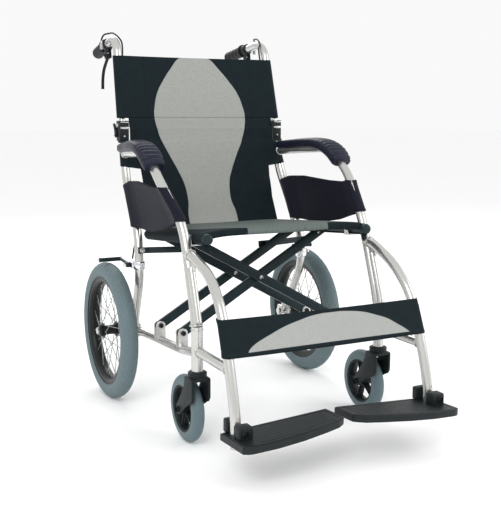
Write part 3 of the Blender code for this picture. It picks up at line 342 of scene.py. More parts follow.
def turning(name, profile, centre, axis="Z", steps=48):
    """A lathe-turned piece: (radius, height) points of a closed outline, spun round its axis."""
    bpy.ops.object.select_all(action="DESELECT")
    bpy.ops.mesh.primitive_circle_add(vertices=len(profile), radius=0.1)
    ring = bpy.context.object
    ring.name = name
    for corner, (radius, height) in zip(ring.data.vertices, profile):
        corner.co = (radius, 0.0, height)
    lathe = ring.modifiers.new("lathe", "SCREW")
    lathe.axis = "Z"
    lathe.steps = steps
    lathe.render_steps = steps
    lathe.use_merge_vertices = True
    lathe.merge_threshold = 0.00001
    bpy.ops.object.modifier_apply(modifier="lathe")
    if axis == "X":
        ring.data.transform(Matrix.Rotation(math.radians(90), 4, "Y"))
    ring.data.transform(Matrix.Translation(centre))
    return smooth(ring, 40)


housing = turning("caster_housing_right_sleeve",
                  [(0.0078, 0.1757), (0.0120, 0.1757), (0.0127, 0.1765), (0.0127, 0.2740),
                   (0.0119, 0.2749), (0.0005, 0.2749), (0.0005, 0.2160), (0.0078, 0.2160)],
                  spot(stem_x, stem_y, 0))
gathered(housing, weld_bead(spot(stem_x, stem_y, 0.268), (0, 0, 1), 0.0129, 0.0012))
both(housing, champagne, "right_frame", "champagne_aluminium", "caster_housing_right")

# ------------------------------------------------------------------ cross brace
# Two crossed pairs of rectangular steel bars, powder coated blue-black, that carry the
# seat rails.  Each crossing has a pin with a button head; the feet turn in small
# aluminium forks welded to the bottom rails.
rake = math.radians(5.0)
brace_angle = math.radians(29.5)
FOOT_X, SEAT_RAIL_X, SEAT_RAIL_UP, REAR_PAIR = 0.205, 0.204, 0.2245, -0.142
brace_coat = speckled("blue_black_coat", (0.009, 0.020, 0.024), 0.38, vary=0.16, size=120, dent=0.12)
fork_metal = speckled("fork_aluminium", (0.62, 0.62, 0.60), 0.34, metal=0.9, vary=0.06, size=140)
pin_metal = speckled("plated_pin", (0.55, 0.55, 0.54), 0.25, metal=1.0, vary=0.1, size=200)


def folded(x, forward, up):
    """A point set out along the fold axis and square to it, from the brace's feet."""
    return Vector((x, axle_y - 0.2875 - math.cos(rake) * forward + math.sin(rake) * up,
                   0.221 + math.sin(rake) * forward + math.cos(rake) * up))


fold_axis = folded(0, 1, 0) - folded(0, 0, 0)


def pressed(name, rim, push, edge=0.0, segments=2, angle=35):
    """A flat outline pushed through into a plate, with its edges broken."""
    bpy.ops.object.select_all(action="DESELECT")
    bpy.ops.mesh.primitive_circle_add(vertices=len(rim), radius=0.1, fill_type="NGON")
    plate = bpy.context.object
    plate.name = name
    for corner, place in zip(plate.data.vertices, rim):
        corner.co = place
    bpy.ops.object.mode_set(mode="EDIT")
    bpy.ops.mesh.select_all(action="SELECT")
    bpy.ops.mesh.extrude_region_move(TRANSFORM_OT_translate={"value": tuple(push)})
    bpy.ops.mesh.select_all(action="SELECT")
    bpy.ops.mesh.normals_make_consistent(inside=False)
    if edge:
        bpy.ops.mesh.bevel(offset=edge, segments=segments, affect="EDGES")
    bpy.ops.object.mode_set(mode="OBJECT")
    if angle:
        bpy.ops.object.shade_smooth_by_angle(angle=math.radians(angle))
    return plate


def cross_bar(side, forward):
    """One rectangular bar with a rounded foot, from a foot pin up to the far rail."""
    along = Vector((side * math.cos(brace_angle), math.sin(brace_angle)))
    across = Vector((-along.y, along.x)) * side
    foot = Vector((-side * FOOT_X, 0.0))
    rim = []
    for k in range(13):
        turn = math.pi * (0.5 + k / 12)
        rim.append(foot + (along * math.cos(turn) + across * math.sin(turn)) * 0.011)
    rim.append(foot + along * 0.404 / math.cos(brace_angle) - across * 0.011)
    rim.append(foot + along * 0.390 / math.cos(brace_angle) + across * 0.011)
    bar = pressed("bar", [folded(flat.x, forward, flat.y) for flat in rim], fold_axis * 0.012, angle=None)
    edge = bar.modifiers.new("edge", "BEVEL")
    edge.width = 0.0022
    edge.segments = 3
    edge.limit_method = "ANGLE"
    edge.angle_limit = math.radians(50)
    bpy.ops.object.modifier_apply(modifier="edge")
    bpy.ops.object.shade_smooth_by_angle(angle=math.radians(35))
    return bar


centre_up = FOOT_X * math.tan(brace_angle)
for body, node, side, layer in (("brace_a", "brace_to_left_rail", 1.0, -0.0123),
                                ("brace_b", "brace_to_right_rail", -1.0, 0.0003)):
    rail = bent_tube(node + "_rail", [folded(side * SEAT_RAIL_X, f, SEAT_RAIL_UP)
                                      for f in (-0.203, 0.0, 0.155)], TUBE, 8, 2)
    rail_cap = turning("rail_cap", [(0.0003, 0.151), (0.0125, 0.151), (0.0125, 0.162), (0.0108, 0.1662),
                                    (0.0060, 0.168), (0.0003, 0.1682)], (0, 0, 0))
    turned = fold_axis.to_track_quat("Z", "Y").to_matrix().to_4x4()
    rail_cap.data.transform(Matrix.Translation(folded(side * SEAT_RAIL_X, 0, SEAT_RAIL_UP)) @ turned)
    parts = [rail_cap]
    for forward in (0.0, REAR_PAIR):
        parts.append(cross_bar(side, forward + layer))
    gathered(rail, *parts)
    dress(rail, brace_coat, body, "black_powder_coat", node)
for word, forward in (("front", 0.0), ("rear", REAR_PAIR)):
    head = capscrew("brace_pin_" + word, folded(0, forward + 0.0124, centre_up), fold_axis, 0.0062, 0.0024,
                    24, 0.45)
    dress(head, pin_metal, "brace_a", "black_powder_coat")
    for hand, body, side, face in (("right", "brace_a", -1.0, 0.0), ("left", "brace_b", 1.0, 0.0126)):
        screw = capscrew(f"bar_rivet_{word}_{hand}",
                         folded(-side * 0.172, forward + face, 0.377 * math.tan(brace_angle)), fold_axis,
                         0.0045, 0.0014, 20, 0.4)
        dress(screw, pin_metal, body, "black_powder_coat")


def fork_cheek(x, front):
    """One plate of a brace fork, shaped round its pin and welded to the rail."""
    rim = [(-0.012, -0.034), (0.012, -0.034), (0.012, 0.003), (0.0085, 0.0085), (0.0, 0.0112),
           (-0.0085, 0.0085), (-0.012, 0.003)]
    return pressed("cheek", [folded(x + a, front, b) for a, b in rim], fold_axis * 0.003, 0.0007)


for word, side, layer in (("right", -1.0, -0.0123), ("left", 1.0, 0.0003)):
    plates = []
    heads = []
    for forward in (0.0, REAR_PAIR):
        for front in (layer + 0.0123, layer - 0.0033):
            plates.append(fork_cheek(side * FOOT_X, forward + front))
        heads.append(capscrew("pin", folded(side * FOOT_X, forward + layer + 0.0154, 0), fold_axis, 0.0066,
                              0.0036, 6, 0.5))
        heads.append(capscrew("pin", folded(side * FOOT_X, forward + layer - 0.0034, 0), -fold_axis, 0.0062,
                              0.0030, 6, 0.5))
        heads.append(bent_tube("web", [folded(side * FOOT_X, forward + layer - 0.001, 0),
                                       folded(side * FOOT_X, forward + layer + 0.013, 0)], 0.0039, 4, 0))
    forks = gathered(plates[0], *plates[1:])
    forks.name = "brace_forks_" + word
    dress(forks, fork_metal, word + "_frame", "champagne_aluminium", "bottom_rail_" + word)
    pins = gathered(heads[0], *heads[1:])
    pins.name = "brace_foot_pins_" + word
    dress(pins, speckled("black_bolt_" + word, (0.03, 0.03, 0.03), 0.35, metal=0.7, vary=0.2),
          word + "_frame",
          "champagne_aluminium")

# ------------------------------------------------------------------ fold links
# Dog-legged flat steel bars, coated like the brace, from a bolt on each rear upright to
# the back of a rear brace bar.
link_up = folded(0, 0, 1) - folded(0, 0, 0)


def fold_link(name, shift):
    """One dog-legged bar; shift is how far its inner end lies in front of its bolt."""
    origin = spot(0.232, -0.092, 0.391)
    inward = Vector((1, 0, -0.02)).normalized()
    plan = ((-0.0095, 0.0), (0.022, 0.0), (0.088, shift), (0.148, shift), (0.148, shift + 0.004),
            (0.086, shift + 0.004), (0.020, 0.004), (-0.0095, 0.004))
    rim = [origin + inward * a + fold_axis * b - link_up * 0.0078 for a, b in plan]
    return pressed(name, rim, link_up * 0.0156, 0.0011, 2, 30)


right_shift = (folded(0, REAR_PAIR, 0) - spot(0.232, -0.092, 0.391)).dot(fold_axis) - 0.0048
dress(fold_link("fold_link_right_bar", right_shift), brace_coat, "fold_link_right", "black_powder_coat",
      "fold_link_right")
left_link = fold_link("fold_link_left_bar", right_shift - 0.012)
left_link.data.transform(Matrix.Scale(-1, 4, (1, 0, 0)))
left_link.data.flip_normals()
dress(left_link, brace_coat, "fold_link_left", "black_powder_coat", "fold_link_left")

# ------------------------------------------------------------------ seat rail saddles
# Bent steel cradles, zinc plated, that the seat rails drop into when the chair opens.
saddle_steel = speckled("zinc_plate", (0.60, 0.61, 0.62), 0.28, metal=1.0, vary=0.12, size=160)
for word in ("right", "left"):
    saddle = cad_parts["rail_saddle_" + word]
    saddle.data.materials.clear()
    saddle.data.materials.append(saddle_steel)

# ------------------------------------------------------------------ rear wheels
# Fourteen inch wheels: blue-grey block-tread tyres on black rims with thin crossed
# spokes, and black barrel hubs on bolted axles.
wheel_x, wheel_r = 0.289, 0.175
tyre_rubber = speckled("blue_grey_rubber", (0.125, 0.170, 0.182), 0.60, vary=0.10, size=220, dent=0.25)
rim_black = speckled("rim_black", (0.009, 0.011, 0.012), 0.38, vary=0.2, size=60)
spoke_steel = speckled("spoke_steel", (0.30, 0.31, 0.31), 0.35, metal=0.9, vary=0.15, size=300)


def tread_relief(turn, across):
    """How deep the tread is cut at an angle round the wheel and a place across it."""
    wide = abs(across)
    if wide > 0.0205:
        return 0.0
    blocks = 84
    swing = math.asin(math.sin(turn * blocks)) / 1.5708
    if wide < 0.0062:
        return 0.0012 if abs(across - 0.0022 * swing) < 0.0011 else 0.0
    if wide < 0.0085:
        return 0.0013
    if wide < 0.0135:
        return 0.0012 if math.sin(turn * blocks + wide * 500) > 0.55 else 0.0
    if wide < 0.0152:
        return 0.0012
    return 0.0013 if math.sin(turn * blocks * 0.5) > 0.6 else 0.0


section = wheel_r - 0.022
opening = math.acos((0.1388 - section) / 0.022)
outline = []
for k in range(45):
    turn = -opening + 2 * opening * k / 44
    outline.append((section + 0.022 * math.cos(turn), 0.022 * math.sin(turn)))
tyre = turning("rear_tyre_right_treaded", outline, (0, 0, 0), "X", 336)
for vert in tyre.data.vertices:
    radius = math.hypot(vert.co.y, vert.co.z)
    angle = math.atan2(vert.co.y, vert.co.z)
    out = math.atan2(vert.co.x, radius - section)
    if abs(out) < 1.30:
        cut = tread_relief(angle, 0.022 * out)
        vert.co.x -= cut * math.sin(out)
        shrink = 1 - cut * math.cos(out) / radius
        vert.co.y *= shrink
        vert.co.z *= shrink
tyre.data.transform(Matrix.Translation(spot(wheel_x, 0, wheel_r)))
both(tyre, tyre_rubber, "rear_wheel_right", "grey_rubber", "rear_tyre_right")

hoop = turning("rear_rim_right_hoop",
               [(0.1386, -0.0163), (0.1398, -0.0172), (0.1406, -0.0150), (0.1384, -0.0120),
                (0.1384, 0.0120), (0.1406, 0.0150), (0.1398, 0.0172), (0.1386, 0.0163), (0.1310, 0.0158),
                (0.1268, 0.0145), (0.1222, 0.0090), (0.1215, 0.0), (0.1222, -0.0090), (0.1268, -0.0145),
                (0.1310, -0.0158)], (0, 0, 0), "X", 96)
for vert in hoop.data.vertices:
    radius = math.hypot(vert.co.y, vert.co.z)
    if radius > 0.1386:
        vert.co.y *= 0.1386 / radius
        vert.co.z *= 0.1386 / radius
hub = turning("hub", [(0.0064, -0.0278), (0.0125, -0.0278), (0.0145, -0.0262), (0.0145, -0.0195),
                      (0.0200, -0.0190), (0.0200, -0.0165), (0.0130, -0.0155), (0.0118, 0.0),
                      (0.0130, 0.0155), (0.0200, 0.0165), (0.0200, 0.0190), (0.0145, 0.0200),
                      (0.0140, 0.0385), (0.0128, 0.0398), (0.0064, 0.0398)],
              (0, 0, 0), "X", 40)
gathered(hoop, hub)
spokes = []
for k in range(28):
    turn = 2 * math.pi * k / 28
    lean = math.radians(46) * (1 if k // 2 % 2 else -1)
    flange = 0.0178 if k % 2 else -0.0178
    inner = Vector((flange, 0.0178 * math.sin(turn + lean), 0.0178 * math.cos(turn + lean)))
    outer = Vector((flange * 0.12, 0.1225 * math.sin(turn), 0.1225 * math.cos(turn)))
    spokes.append(bent_tube("spoke", [inner, outer], 0.0010, 2, 0))
    nipple = outer + (inner - outer).normalized() * 0.009
    spokes.append(bent_tube("nipple", [nipple, outer], 0.0018, 2, 0))
spoke_set = gathered(spokes[0], *spokes[1:])
spoke_set.name = "rear_spokes_right"
for part in (hoop, spoke_set):
    part.data.transform(Matrix.Translation(spot(wheel_x, 0, wheel_r)))
both(hoop, rim_black, "rear_wheel_right", "black_plastic", "rear_rim_right")
both(spoke_set, spoke_steel, "rear_wheel_right", "black_plastic")
valve = bent_tube("rear_valve_right",
                  [spot(wheel_x, 0.118, wheel_r + 0.020), spot(wheel_x, 0.103, wheel_r + 0.0174)],
                  0.0030, 4, 0)
both(valve, rim_black, "rear_wheel_right", "black_plastic")

axle = turning("rear_axle_right_bolt",
               [(0.0002, -0.2065), (0.0085, -0.2065), (0.0090, -0.2075), (0.0090, -0.2108),
                (0.0085, -0.2118), (0.0060, -0.2118), (0.0060, -0.3182), (0.0085, -0.3182),
                (0.0090, -0.3192), (0.0090, -0.3220), (0.0070, -0.3235), (0.0002, -0.3235)],
               (0, axle_y, wheel_r), "X", 24)
both(axle, pin_metal, "right_frame", "bright_steel", "rear_axle_right")

# ------------------------------------------------------------------ casters
# Six inch casters: smooth grey polyurethane tyres on black moulded wheels, in wide black
# forks whose stems run up into the housings under a grooved dust cap.
caster_black = speckled("moulded_black", (0.008, 0.012, 0.013), 0.48, vary=0.15, size=150, dent=0.22)
tyre_grey = speckled("smooth_grey_tyre", (0.105, 0.150, 0.165), 0.42, vary=0.06, size=60)
caster_y, caster_r = stem_y + 0.057, 0.076
caster_tyre = turning("caster_tyre_right_band",
                      [(0.0530, -0.0140), (0.0610, -0.0140), (0.0660, -0.0131), (0.0705, -0.0108),
                       (0.0735, -0.0078), (0.0753, -0.0040), (0.0760, 0.0), (0.0753, 0.0040),
                       (0.0735, 0.0078), (0.0705, 0.0108), (0.0660, 0.0131), (0.0610, 0.0140),
                       (0.0530, 0.0140)],
                      spot(stem_x, caster_y, caster_r), "X", 72)
both(caster_tyre, tyre_grey, "caster_wheel_right", "grey_rubber", "caster_tyre_right")
caster_wheel = turning("caster_rim_right_wheel",
                       [(0.0527, -0.0124), (0.0527, 0.0124), (0.0485, 0.0124), (0.0462, 0.0080),
                        (0.0455, 0.0), (0.0462, -0.0080), (0.0485, -0.0124)], (0, 0, 0), "X", 64)
caster_hub = turning("hub", [(0.0049, -0.0150), (0.0105, -0.0150), (0.0125, -0.0135), (0.0130, 0.0),
                             (0.0125, 0.0135), (0.0105, 0.0150), (0.0049, 0.0150)], (0, 0, 0), "X", 32)
arms = []
for k in range(5):
    turn = 2 * math.pi * (k + 0.25) / 5
    radial = Vector((0, math.sin(turn), math.cos(turn)))
    tangent = Vector((0, math.cos(turn), -math.sin(turn)))
    arm = block("arm", (-0.0052, -0.0050, 0.010), (0.0052, 0.0050, 0.0480), 0.0016)
    rib = block("rib", (-0.0085, -0.0016, 0.011), (0.0085, 0.0016, 0.0475), 0.0008)
    for part in (arm, rib):
        part.data.transform(Matrix(((1, 0, 0, 0), (0, tangent.y, radial.y, 0),
                                    (0, tangent.z, radial.z, 0), (0, 0, 0, 1))))
        arms.append(part)
gathered(caster_wheel, caster_hub, *arms)
caster_wheel.data.transform(Matrix.Translation(spot(stem_x, caster_y, caster_r)))
both(caster_wheel, caster_black, "caster_wheel_right", "black_plastic", "caster_rim_right")


def fork_leg(x0, x1):
    """One side of the fork, extruded from its swept outline."""
    rim = [(stem_y - 0.0210, 0.1600), (stem_y - 0.0180, 0.1628), (stem_y + 0.0180, 0.1628),
           (stem_y + 0.0212, 0.1590), (stem_y + 0.0215, 0.1480), (stem_y + 0.0350, 0.1240),
           (caster_y + 0.0100, 0.0850), (caster_y + 0.0128, 0.0760), (caster_y + 0.0100, 0.0682),
           (caster_y + 0.0020, 0.0645), (caster_y - 0.0070, 0.0662), (stem_y + 0.0200, 0.0900),
           (stem_y - 0.0010, 0.1030), (stem_y - 0.0150, 0.1100), (stem_y - 0.0205, 0.1190)]
    return pressed("leg", [spot(x0, y, z) for y, z in rim], (x0 - x1, 0, 0), 0.0014, 3, 40)


crown = block("crown", spot(stem_x - 0.0220, stem_y - 0.0208, 0.1560),
              spot(stem_x + 0.0220, stem_y + 0.0208, 0.1626), 0.003)
fork = fork_leg(stem_x - 0.0224, stem_x - 0.0166)
fork.name = "caster_fork_right_moulding"
cap = turning("cap", [(0.0003, 0.1580), (0.0206, 0.1580), (0.0208, 0.1650), (0.0198, 0.1658),
                      (0.0198, 0.1672), (0.0208, 0.1680), (0.0208, 0.1735), (0.0190, 0.1750),
                      (0.0064, 0.1752), (0.0064, 0.2100), (0.0003, 0.2110)],
              spot(stem_x, stem_y, 0))
bolt_out = capscrew("bolt", spot(stem_x + 0.0222, caster_y, caster_r), (-1, 0, 0), 0.0078, 0.0038, 6, 0.55)
bolt_in = capscrew("bolt", spot(stem_x - 0.0222, caster_y, caster_r), (1, 0, 0), 0.0078, 0.0038, 6, 0.55)
pin = bent_tube("pin", [spot(stem_x - 0.022, caster_y, caster_r), spot(stem_x + 0.022, caster_y, caster_r)],
                0.0045, 4, 0)
gathered(fork, fork_leg(stem_x + 0.0166, stem_x + 0.0224), crown, cap, bolt_out, bolt_in, pin)
both(fork, caster_black, "caster_fork_right", "black_plastic", "caster_fork_right")

# ------------------------------------------------------------------ footplates
# Glass-filled nylon treads with a raised rim and a field of ribs; two lugs straddle the
# leg tube on a through bolt, so each plate flips up.
plate_black = speckled("glass_filled_nylon", (0.010, 0.014, 0.015), 0.46, vary=0.15, size=170, dent=0.3)
pivot_x, pivot_y, pivot_z = 0.2375, -0.633, 0.112
plate_long, plate_back, plate_thick = 0.2485, 0.026, 0.0135


def tread_height(across, back):
    """Height of the tread, which slopes up inwards and down to the back."""
    return pivot_z - 0.0125 + 0.055 * across - 0.055 * (back + 0.027)


def front_edge(across):
    """Where the tread's front edge runs, at a place across it."""
    stops = ((-0.0215, -0.076), (-0.012, -0.0845), (0.0, -0.087), (0.05, -0.089), (0.11, -0.083),
             (0.17, -0.070), (0.205, -0.060), (0.222, -0.048), (0.227, -0.042))
    for (a, b), (c, d) in zip(stops, stops[1:]):
        if across <= c:
            return b + (d - b) * (across - a) / (c - a)
    return stops[-1][1]


bpy.ops.object.select_all(action="DESELECT")
bpy.ops.mesh.primitive_grid_add(x_subdivisions=56, y_subdivisions=24, size=2)
plate = bpy.context.object
plate.name = "footplate_right_tread"
for vert in plate.data.vertices:
    u, v = (vert.co.x + 1) / 2, (vert.co.y + 1) / 2
    across = -0.0215 + plate_long * u
    fore = front_edge(across)
    back = fore + (plate_back - fore) * v
    lift = 0.0
    edge = min(u * plate_long, (1 - u) * plate_long, v * (plate_back - fore), (1 - v) * (plate_back - fore))
    if edge < 0.003:
        lift = -0.0022 * (1 - edge / 0.003) ** 2
    elif 0.0085 < edge:
        lift = -0.0016
        if 0.020 < across < 0.205 and edge > 0.013:
            lift += 0.0011 * (0.5 + 0.5 * math.cos(2 * math.pi * back / 0.0078))
    vert.co = spot(pivot_x - across, pivot_y + back, tread_height(across, back) + lift)
bpy.ops.object.mode_set(mode="EDIT")
bpy.ops.mesh.select_all(action="SELECT")
bpy.ops.mesh.extrude_region_move(TRANSFORM_OT_translate={"value": (0, 0, -plate_thick)})
bpy.ops.object.mode_set(mode="OBJECT")
smooth(plate, 50)
lugs = []
for low, high in ((-0.042, -0.0145), (0.0145, 0.033)):
    lug = block("lug", spot(pivot_x + 0.0128, pivot_y + low, pivot_z - 0.018),
                spot(pivot_x - 0.019, pivot_y + high, pivot_z + 0.0118),
                0.0045, 4)
    lugs.append(lug)
bolt_face = capscrew("bolt", spot(pivot_x, pivot_y - 0.0425, pivot_z), (0, -1, 0), 0.0068, 0.0030, 24, 0.5)
nut_face = capscrew("nut", spot(pivot_x, pivot_y + 0.0330, pivot_z), (0, 1, 0), 0.0062, 0.0036, 6, 0.6)
gathered(plate, *lugs, bolt_face, nut_face)
both(plate, plate_black, "footplate_right", "black_plastic", "footplate_right")

# ------------------------------------------------------------------ armrest pads
# Dark navy self-skinned foam, moulded over the armrest tube; the nose is ribbed where
# the hand pushes off, and a small screw fixes it from the side.
navy_skin = speckled("navy_self_skin", (0.010, 0.012, 0.026), 0.44, vary=0.10, size=120, dent=0.35)
STATIONS = ((0.2285, 0.0525, 0.6395, 0.0125, 0.0100), (0.229, 0.049, 0.6395, 0.0138, 0.0112),
            (0.236, -0.020, 0.6450, 0.0162, 0.013), (0.2445, -0.080, 0.6490, 0.0215, 0.014),
            (0.2490, -0.135, 0.6500, 0.0255, 0.015), (0.2515, -0.180, 0.6440, 0.0275, 0.016),
            (0.2530, -0.215, 0.6300, 0.0280, 0.0165), (0.2535, -0.240, 0.6110, 0.0262, 0.0158),
            (0.2535, -0.2470, 0.6050, 0.0235, 0.0130))
bpy.ops.object.select_all(action="DESELECT")
bpy.ops.mesh.primitive_grid_add(x_subdivisions=36, y_subdivisions=84, size=2)
pad = bpy.context.object
pad.name = "armrest_pad_right_moulding"
spine = eased([(x, y, z) for x, y, z, _, _ in STATIONS], 12)
girth = eased([(w, h, 0) for _, _, _, w, h in STATIONS], 12)
for vert in pad.data.vertices:
    u = (vert.co.y + 1) / 2 * (len(spine) - 1)
    i = min(int(u), len(spine) - 2)
    t = u - i
    centre = spine[i].lerp(spine[i + 1], t)
    wide, high, _ = girth[i].lerp(girth[i + 1], t)
    ahead = (spine[i + 1] - spine[i]).normalized()
    up = Vector((1, 0, 0)).cross(ahead)
    up = up if up.z > 0 else -up
    turn = math.pi * vert.co.x
    a, b = math.sin(turn), math.cos(turn)
    square = (abs(a) ** 3 + abs(b) ** 3) ** (-1 / 3)
    along = centre.y
    groove = 0.0
    if along < -0.172 and b > 0.0:
        wave = 0.5 + 0.5 * math.cos(2 * math.pi * (along + 0.172 + 0.35 * (centre.z - 0.64)) / 0.0140)
        groove = 0.0030 * wave ** 4 * min(1, b * 3) * min(1, (-0.172 - along) / 0.008)
    place = centre + Vector((a * square * (wide - groove), 0, 0)) + up * (b * square * (high - groove))
    vert.co = spot(*place)
bpy.ops.object.mode_set(mode="EDIT")
bpy.ops.mesh.select_all(action="SELECT")
bpy.ops.mesh.remove_doubles(threshold=0.00002)
bpy.ops.mesh.select_all(action="DESELECT")
bpy.ops.mesh.select_non_manifold()
bpy.ops.mesh.edge_face_add()
bpy.ops.object.mode_set(mode="OBJECT")
smooth(pad, 60)
pad_screw = capscrew("screw", spot(0.2705, -0.150, 0.6430), (-1, 0, -0.2), 0.0040, 0.0018, 20, 0.5)
gathered(pad, pad_screw)
for piece in both(pad, navy_skin, "right_frame", "navy_foam", "armrest_pad_right"):
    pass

# ------------------------------------------------------------------ brake brackets and arms
# Chromed clamps on the rear uprights carry a short black arm whose rod lies over the
# tyre; the cable from the handle pulls it down.
chrome = speckled("chrome_plate", (0.74, 0.75, 0.76), 0.12, metal=1.0, vary=0.05, size=60, spread=0.04)
bracket = turning("brake_bracket_right_clamp",
                  [(0.0114, -0.0098), (0.0142, -0.0098), (0.0150, -0.0086), (0.0150, 0.0086),
                   (0.0142, 0.0098), (0.0114, 0.0098)], spot(0.234, -0.080, 0.352), "Z", 40)
split = block("split", spot(0.2395, -0.0775, 0.3444), spot(0.2522, -0.0525, 0.3596), 0.0016)
gathered(bracket, split, capscrew("nut", spot(0.2638, -0.060, 0.352), (-1, 0, 0), 0.0058, 0.0030, 6, 0.5),
         capscrew("clamp_screw", spot(0.2430, -0.0730, 0.3595), (0, 0, 1), 0.0030, 0.0022, 16, 0.5))
both(bracket, chrome, "right_frame", "bright_steel", "brake_bracket_right")
arm = block("brake_arm_right_lever", spot(0.2527, -0.0675, 0.3457), spot(0.2623, -0.0525, 0.3583), 0.0022)
beam = bent_tube("beam", [spot(0.2575, -0.056, 0.3550), spot(0.2575, -0.030, 0.3572),
                          spot(0.2575, 0.0, 0.3590)], 0.0042, 6, 4)
press = bent_tube("press", [spot(0.2540, 0.0, 0.3585), spot(0.285, 0.0, 0.3585), spot(0.3125, 0.0, 0.3585)],
                  0.0055, 8, 2)
sleeve = bent_tube("sleeve", [spot(0.3105, 0.0, 0.3585), spot(0.3130, 0.0, 0.3585)], 0.0062, 8, 0)
gathered(arm, beam, press, sleeve)
both(arm, brace_coat, "brake_arm_right", "black_plastic", "brake_arm_right")

# ------------------------------------------------------------------ back hinge blocks
# Black forks on top of the rear uprights, with a bright trim plate across the front, the
# hinge bolt through both cheeks and a small sprung catch lever on the outer cheek.
for low, high in ((0.2120, 0.2180), (0.2310, 0.2370)):
    cheek = block("cheek", spot(low, 0.0422, 0.6572), spot(high, 0.0703, 0.7093), 0.0016)
    if low < 0.22:
        hinge = cheek
        hinge.name = "hinge_block_right_fork"
    else:
        gathered(hinge, cheek)
core = block("core", spot(0.2160, 0.0425, 0.6575), spot(0.2330, 0.0700, 0.6800), 0.0010)
collar = turning("collar", [(0.0113, -0.0030), (0.0150, -0.0030), (0.0150, 0.0020), (0.0135, 0.0030),
                            (0.0113, 0.0030)],
                 spot(0.2248, 0.0475, 0.6560), "Z", 32)
cover = block("cover", spot(0.2150, 0.0420, 0.6600), spot(0.2340, 0.0446, 0.7080), 0.0010)
gathered(hinge, core, collar, cover)
both(hinge, caster_black, "right_frame", "black_plastic", "hinge_block_right")
trim = block("hinge_trim_right", spot(0.2135, 0.0412, 0.6880), spot(0.2355, 0.0425, 0.6935), 0.0005, 2)
gathered(trim, capscrew("bolt", spot(0.2370, 0.0585, 0.697), (-1, 0, 0), 0.0058, 0.0026, 24, 0.5),
         capscrew("bolt", spot(0.2120, 0.0585, 0.697), (1, 0, 0), 0.0058, 0.0026, 24, 0.5),
         capscrew("bolt", spot(0.2245, 0.0424, 0.6700), (0, -1, 0), 0.0032, 0.0014, 20, 0.5),
         block("trim", spot(0.2135, 0.0414, 0.7040), spot(0.2355, 0.0426, 0.7065), 0.0004, 2))
both(trim, pin_metal, "right_frame", "bright_steel")

rim = [(-0.0045, -0.004), (0.001, -0.0062), (0.006, -0.004), (0.0075, 0.004), (0.0090, 0.011),
       (0.0130, 0.019), (0.018, 0.026), (0.0170, 0.0300), (0.014, 0.031), (0.006, 0.0235), (0.000, 0.016),
       (-0.0038, 0.009), (-0.0045, 0.004)]
catch = pressed("back_release_lever_right_catch", [spot(0.2374, 0.0645 + y, 0.672 + z) for y, z in rim],
                (-0.0048, 0, 0), 0.0008)
gathered(catch, capscrew("pivot", spot(0.2422, 0.0645, 0.672), (-1, 0, 0), 0.0030, 0.0012, 20, 0.5))
bpy.ops.object.shade_smooth_by_angle(angle=math.radians(35))
both(catch, caster_black, "back_release_lever_right", "black_plastic", "back_release_lever_right")

# ------------------------------------------------------------------ push handles
# The same tube bent back at the top, with a moulded grip, a clamp that carries the brake
# lever and its cable adjuster, and the cable running over the bend.
grip_black = speckled("grip_rubber", (0.008, 0.009, 0.010), 0.58, vary=0.15, size=180, dent=0.3)
hinge_at = Vector((0.2245, 0.0585, 0.697))
back_rake, handle_drop, bend_radius = math.radians(13.7), math.radians(9), 0.050
rise = Vector((-0.030, math.sin(back_rake), math.cos(back_rake))).normalized()
back = Vector((-0.060, math.cos(handle_drop), -math.sin(handle_drop))).normalized()
corner_at = hinge_at + rise * ((0.928 - 0.697) / rise.z)
half = (-rise).angle(back) / 2
bend_at = corner_at + (back - rise).normalized() * bend_radius / math.sin(half)
run_in = bend_radius / math.tan(half)
start, stop = corner_at - rise * run_in - bend_at, corner_at + back * run_in - bend_at
sweep = start.angle(stop)
arc = [bend_at + (start * math.sin(sweep * (1 - k / 14)) + stop * math.sin(sweep * k / 14))
       / math.sin(sweep) for k in range(15)]
handle = bent_tube("push_handle_right_tube", [spot(*p)
                                              for p in [hinge_at + rise * 0.0207, *arc,
                                                        corner_at + back * 0.196]], TUBE, 8, 0)
tongue = block("tongue", (-0.0058, -0.0088, -0.0088), (0.0058, 0.0088, 0.0240), 0.0030)
tongue.data.transform(Matrix.Translation(spot(*hinge_at)) @ Matrix.Rotation(-back_rake, 4, "X"))
gathered(handle, tongue)
both(handle, champagne, "upper_back_right", "champagne_aluminium", "push_handle_right")

aim = Vector((-back.x, back.y, back.z))
turned = aim.to_track_quat("Z", "Y").to_matrix().to_4x4()


def on_handle(piece, along):
    """Slide a turned piece along the handle to its place."""
    piece.data.transform(Matrix.Translation(spot(*(corner_at + back * along))) @ turned)
    return piece


profile = [(0.0112, 0.0), (0.0176, 0.0), (0.0186, 0.0012), (0.0186, 0.0040), (0.0172, 0.0052)]
for k in range(33):
    z = 0.0065 + 0.0800 * k / 32
    profile.append((0.0155 + 0.0006 * math.cos(2 * math.pi * k / 8), z))
profile += [(0.0150, 0.0905), (0.0132, 0.0940), (0.0090, 0.0958), (0.0003, 0.0962), (0.0003, 0.0850),
            (0.0112, 0.0850)]
grip = on_handle(turning("handle_grip_right_moulding", profile, (0, 0, 0), "Z", 40), 0.112)
both(grip, grip_black, "upper_back_right", "black_grip", "handle_grip_right")

